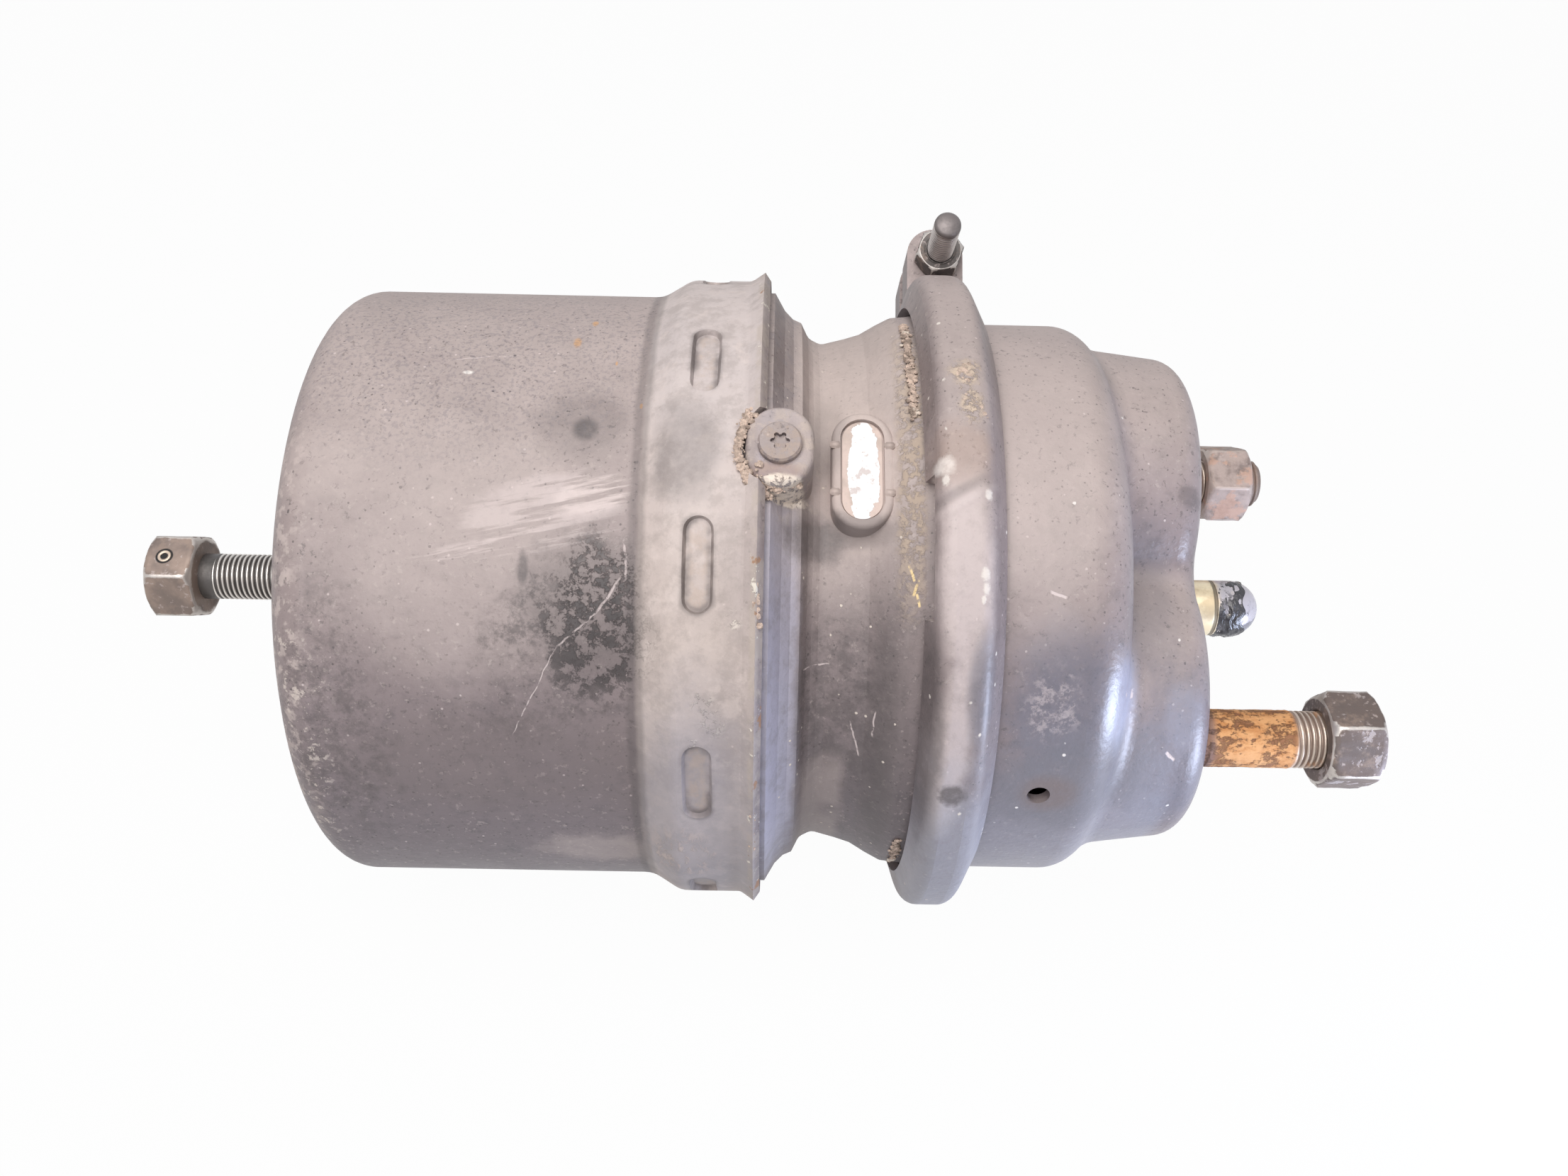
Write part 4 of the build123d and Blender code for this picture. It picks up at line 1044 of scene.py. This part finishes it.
class BRAKE_OT_small(bpy.types.Operator):
    """Finish the label place, the lock screw and everything inside"""

    bl_idname = "brake.small"
    bl_label = "Label place and inner pieces"

    def execute(self, context):
        own = context.scene.brake_chamber
        finish_nodes(label_finish(own.paint), "nameplate")
        out, down = outward(LABEL_ANGLE), onward(LABEL_ANGLE)
        block = axes(Vector((1, 0, 0)), down, out) @ Matrix.Diagonal((2.7 * MM, 1.9 * MM, 1.1 * MM, 1.0))
        tabs = bmesh.new()
        for along, beside in ((-1, -1), (-1, 1), (1, -1), (1, 1)):
            centre = Vector(((LABEL_STATION + along * 6.85) * MM, 0, 0)) + out * 80.1 * MM + down * beside * 6.6 * MM
            bmesh.ops.create_cube(tabs, size=1.0, matrix=Matrix.Translation(centre) @ block)
        bmesh.ops.bevel(tabs, geom=tabs.edges[:], offset=0.35 * MM, segments=3, affect="EDGES")
        mesh = mesh_from("label_tabs", tabs, plain_finish("tab_paint", (0.56, 0.46, 0.42), 0.7))
        mesh.shade_smooth()
        settle("label_tabs", mesh, "chamber")
        lock = worn_paint("lock_screw_paint", own.paint.casting, own.paint)
        lock.lay(lock.noise(300, 5, 0.7).rise(0.44, 0.58) * 0.6, own.dirt.sand, 0.9, height=0.1)
        finish_nodes(lock.done(), "lock_screw")
        finish_nodes(plain_finish("plain_steel", (0.46, 0.44, 0.43), 0.38, 0.85, turned=True),
                     "release_bush", "piston_tube", "thrust_ring", "push_plate", "stud_plate")
        finish_nodes(plain_finish("spring_steel", (0.085, 0.085, 0.095), 0.42, 0.3),
                     "power_spring", "return_spring", "retaining_ring", "seal_circlip", "bellows_clip")
        finish_nodes(plain_finish("machined_aluminium", (0.62, 0.62, 0.64), 0.34, 0.9, turned=True), "piston")
        finish_nodes(plain_finish("black_rubber", (0.035, 0.034, 0.034), 0.62, grain=900),
                     "bellows", "diaphragm", "flange_o_ring", "piston_seal", "tube_seal_front", "tube_seal_rear")
        finish_nodes(plain_finish("natural_plastic", (0.66, 0.62, 0.52), 0.45),
                     "tube_guide_bush", "piston_guide_ring", "tube_end_plug")
        soft_copy("return_spring")
        soft_copy("bellows")
        soft_copy("power_spring")
        return {"FINISHED"}


class BRAKE_OT_stage(bpy.types.Operator):
    """Set the floor, the lamps and the view"""

    bl_idname = "brake.stage"
    bl_label = "Stage"

    def execute(self, context):
        own = context.scene.brake_chamber.stage
        self.lay_floor(own, context.scene)
        self.light_room(own, context.scene)
        self.set_view(own, context.scene)
        return {"FINISHED"}

    def lay_floor(self, own, scene):
        """A pale floor that the camera, metal and glass see as white."""
        s = Sheet("studio_floor", own.floor, 0.9)
        s.lay(s.noise(2, 2) * 0.04, (0.57, 0.58, 0.59))
        surface = s.done(specular=0.1)
        path = s.node("ShaderNodeLightPath", {}, {}, "Is Camera Ray")
        seen = path.most(path.other("Is Glossy Ray")).most(path.other("Is Transmission Ray"))
        glow = s.node("ShaderNodeEmission", {}, {"Color": (1.0, 1.0, 1.0, 1.0), "Strength": 1.0})
        bare = Field(s, s.shader.outputs[0])
        both = s.node("ShaderNodeMixShader", {}, {0: seen * 0.97, 1: bare, 2: glow})
        s.feed(s.tree.nodes["Material Output"].inputs["Surface"], both)
        floor = bmesh.new()
        bmesh.ops.create_grid(floor, x_segments=8, y_segments=8, size=4.0)
        stage = bpy.data.objects.new("studio_floor", mesh_from("studio_floor", floor, surface))
        stage.location = (-0.1, 0, CAD_BOX[0][2] - 0.0006)
        scene.collection.objects.link(stage)

    def light_room(self, own, scene):
        """A bluish room, whose light on the object is fainter than the room looks, and three lamps."""
        world = bpy.data.worlds.new("studio_light")
        world.use_nodes = True
        scene.world = world
        room = Wiring(world.node_tree)
        backdrop = world.node_tree.nodes["Background"].inputs
        room.feed(backdrop["Color"], (0.92, 0.95, 1.0, 1.0))
        path = room.node("ShaderNodeLightPath", {}, {}, "Is Camera Ray")
        seen = path.most(path.other("Is Glossy Ray"))
        strength = room.node("ShaderNodeMapRange", {}, {"Value": seen, "To Min": 0.17, "To Max": 0.96})
        room.feed(backdrop["Strength"], strength)
        aim = Vector((-0.12, 0, 0))
        for name, place, size, power, tint in (
            ("key_lamp", (-0.22, -0.40, 1.0), 0.95, own.key, (1.0, 0.975, 0.955)),
            ("fill_lamp", (-0.45, -1.0, 0.75), 0.7, own.fill, (1.0, 0.975, 0.965)),
            ("window_lamp", (0.18, -0.17, -0.055), 0.12, own.glint, (0.66, 0.76, 1.0)),
        ):
            data = bpy.data.lights.new(name, "AREA")
            data.shape = "DISK"
            data.size = size
            data.energy = power
            data.color = tint
            lamp = bpy.data.objects.new(name, data)
            scene.collection.objects.link(lamp)
            lamp.matrix_world = aimed(Vector(place), aim)
            lamp.visible_camera = False

    def set_view(self, own, scene):
        """The camera in front of the near side, looking down on it, a little turned and rolled."""
        e, yaw, roll = own.elevation, math.radians(VIEW_TURN), math.radians(VIEW_ROLL)
        along = Vector((1, 0, 0))
        ahead = Vector((0, math.cos(e), -math.sin(e)))
        up = Vector((0, math.sin(e), math.cos(e)))
        right = along * math.cos(yaw) - ahead * math.sin(yaw)
        forward = along * math.sin(yaw) + ahead * math.cos(yaw)
        turned_right = right * math.cos(roll) + up * math.sin(roll)
        turned_up = up * math.cos(roll) - right * math.sin(roll)
        lens = Vector((VIEW_STATION * MM, 0, 0)) - forward * own.distance - up * (VIEW_DROP * MM)
        data = bpy.data.cameras.new("front_view")
        data.sensor_width = 36.0
        data.lens = 36.0 * VIEW_FOCAL / VIEW_WIDTH
        data.clip_start = 0.01
        data.shift_y = VIEW_SHIFT / VIEW_WIDTH
        camera = bpy.data.objects.new("front_view", data)
        scene.collection.objects.link(camera)
        camera.matrix_world = Matrix.Translation(lens) @ axes(turned_right, turned_up, -forward)
        scene.camera = camera
        scene.view_settings.view_transform = "Standard"


class BRAKE_PT_chamber(bpy.types.Panel):
    """The chamber's steps and settings"""

    bl_label = "Brake chamber"
    bl_space_type = "VIEW_3D"
    bl_region_type = "UI"
    bl_category = "Brake chamber"

    def draw(self, context):
        own = context.scene.brake_chamber
        for group, operators in (
            (own.paint, ("brake.castings", "brake.small")),
            (own.steel, ("brake.studs", "brake.release", "brake.clamp", "brake.rod")),
            (own.dirt, ("brake.dirt",)),
            (own.stage, ("brake.stage",)),
        ):
            box = self.layout.box()
            for operator in operators:
                box.operator(operator)
            for name in group.__annotations__:
                box.prop(group, name)


CLASSES = (ChamberPaint, ChamberSteel, ChamberDirt, ChamberStage, ChamberSettings, BRAKE_OT_castings, BRAKE_OT_studs,
           BRAKE_OT_release, BRAKE_OT_clamp, BRAKE_OT_rod, BRAKE_OT_dirt, BRAKE_OT_small, BRAKE_OT_stage,
           BRAKE_PT_chamber)


def register():
    for made in CLASSES:
        bpy.utils.register_class(made)
    bpy.types.Scene.brake_chamber = PointerProperty(type=ChamberSettings)


def unregister():
    del bpy.types.Scene.brake_chamber
    for made in reversed(CLASSES):
        bpy.utils.unregister_class(made)


def main():
    register()
    steps = bpy.ops.brake
    for step in (steps.castings, steps.studs, steps.release, steps.clamp, steps.rod, steps.dirt, steps.small,
                 steps.stage):
        step()


if __name__ == "__main__":
    main()
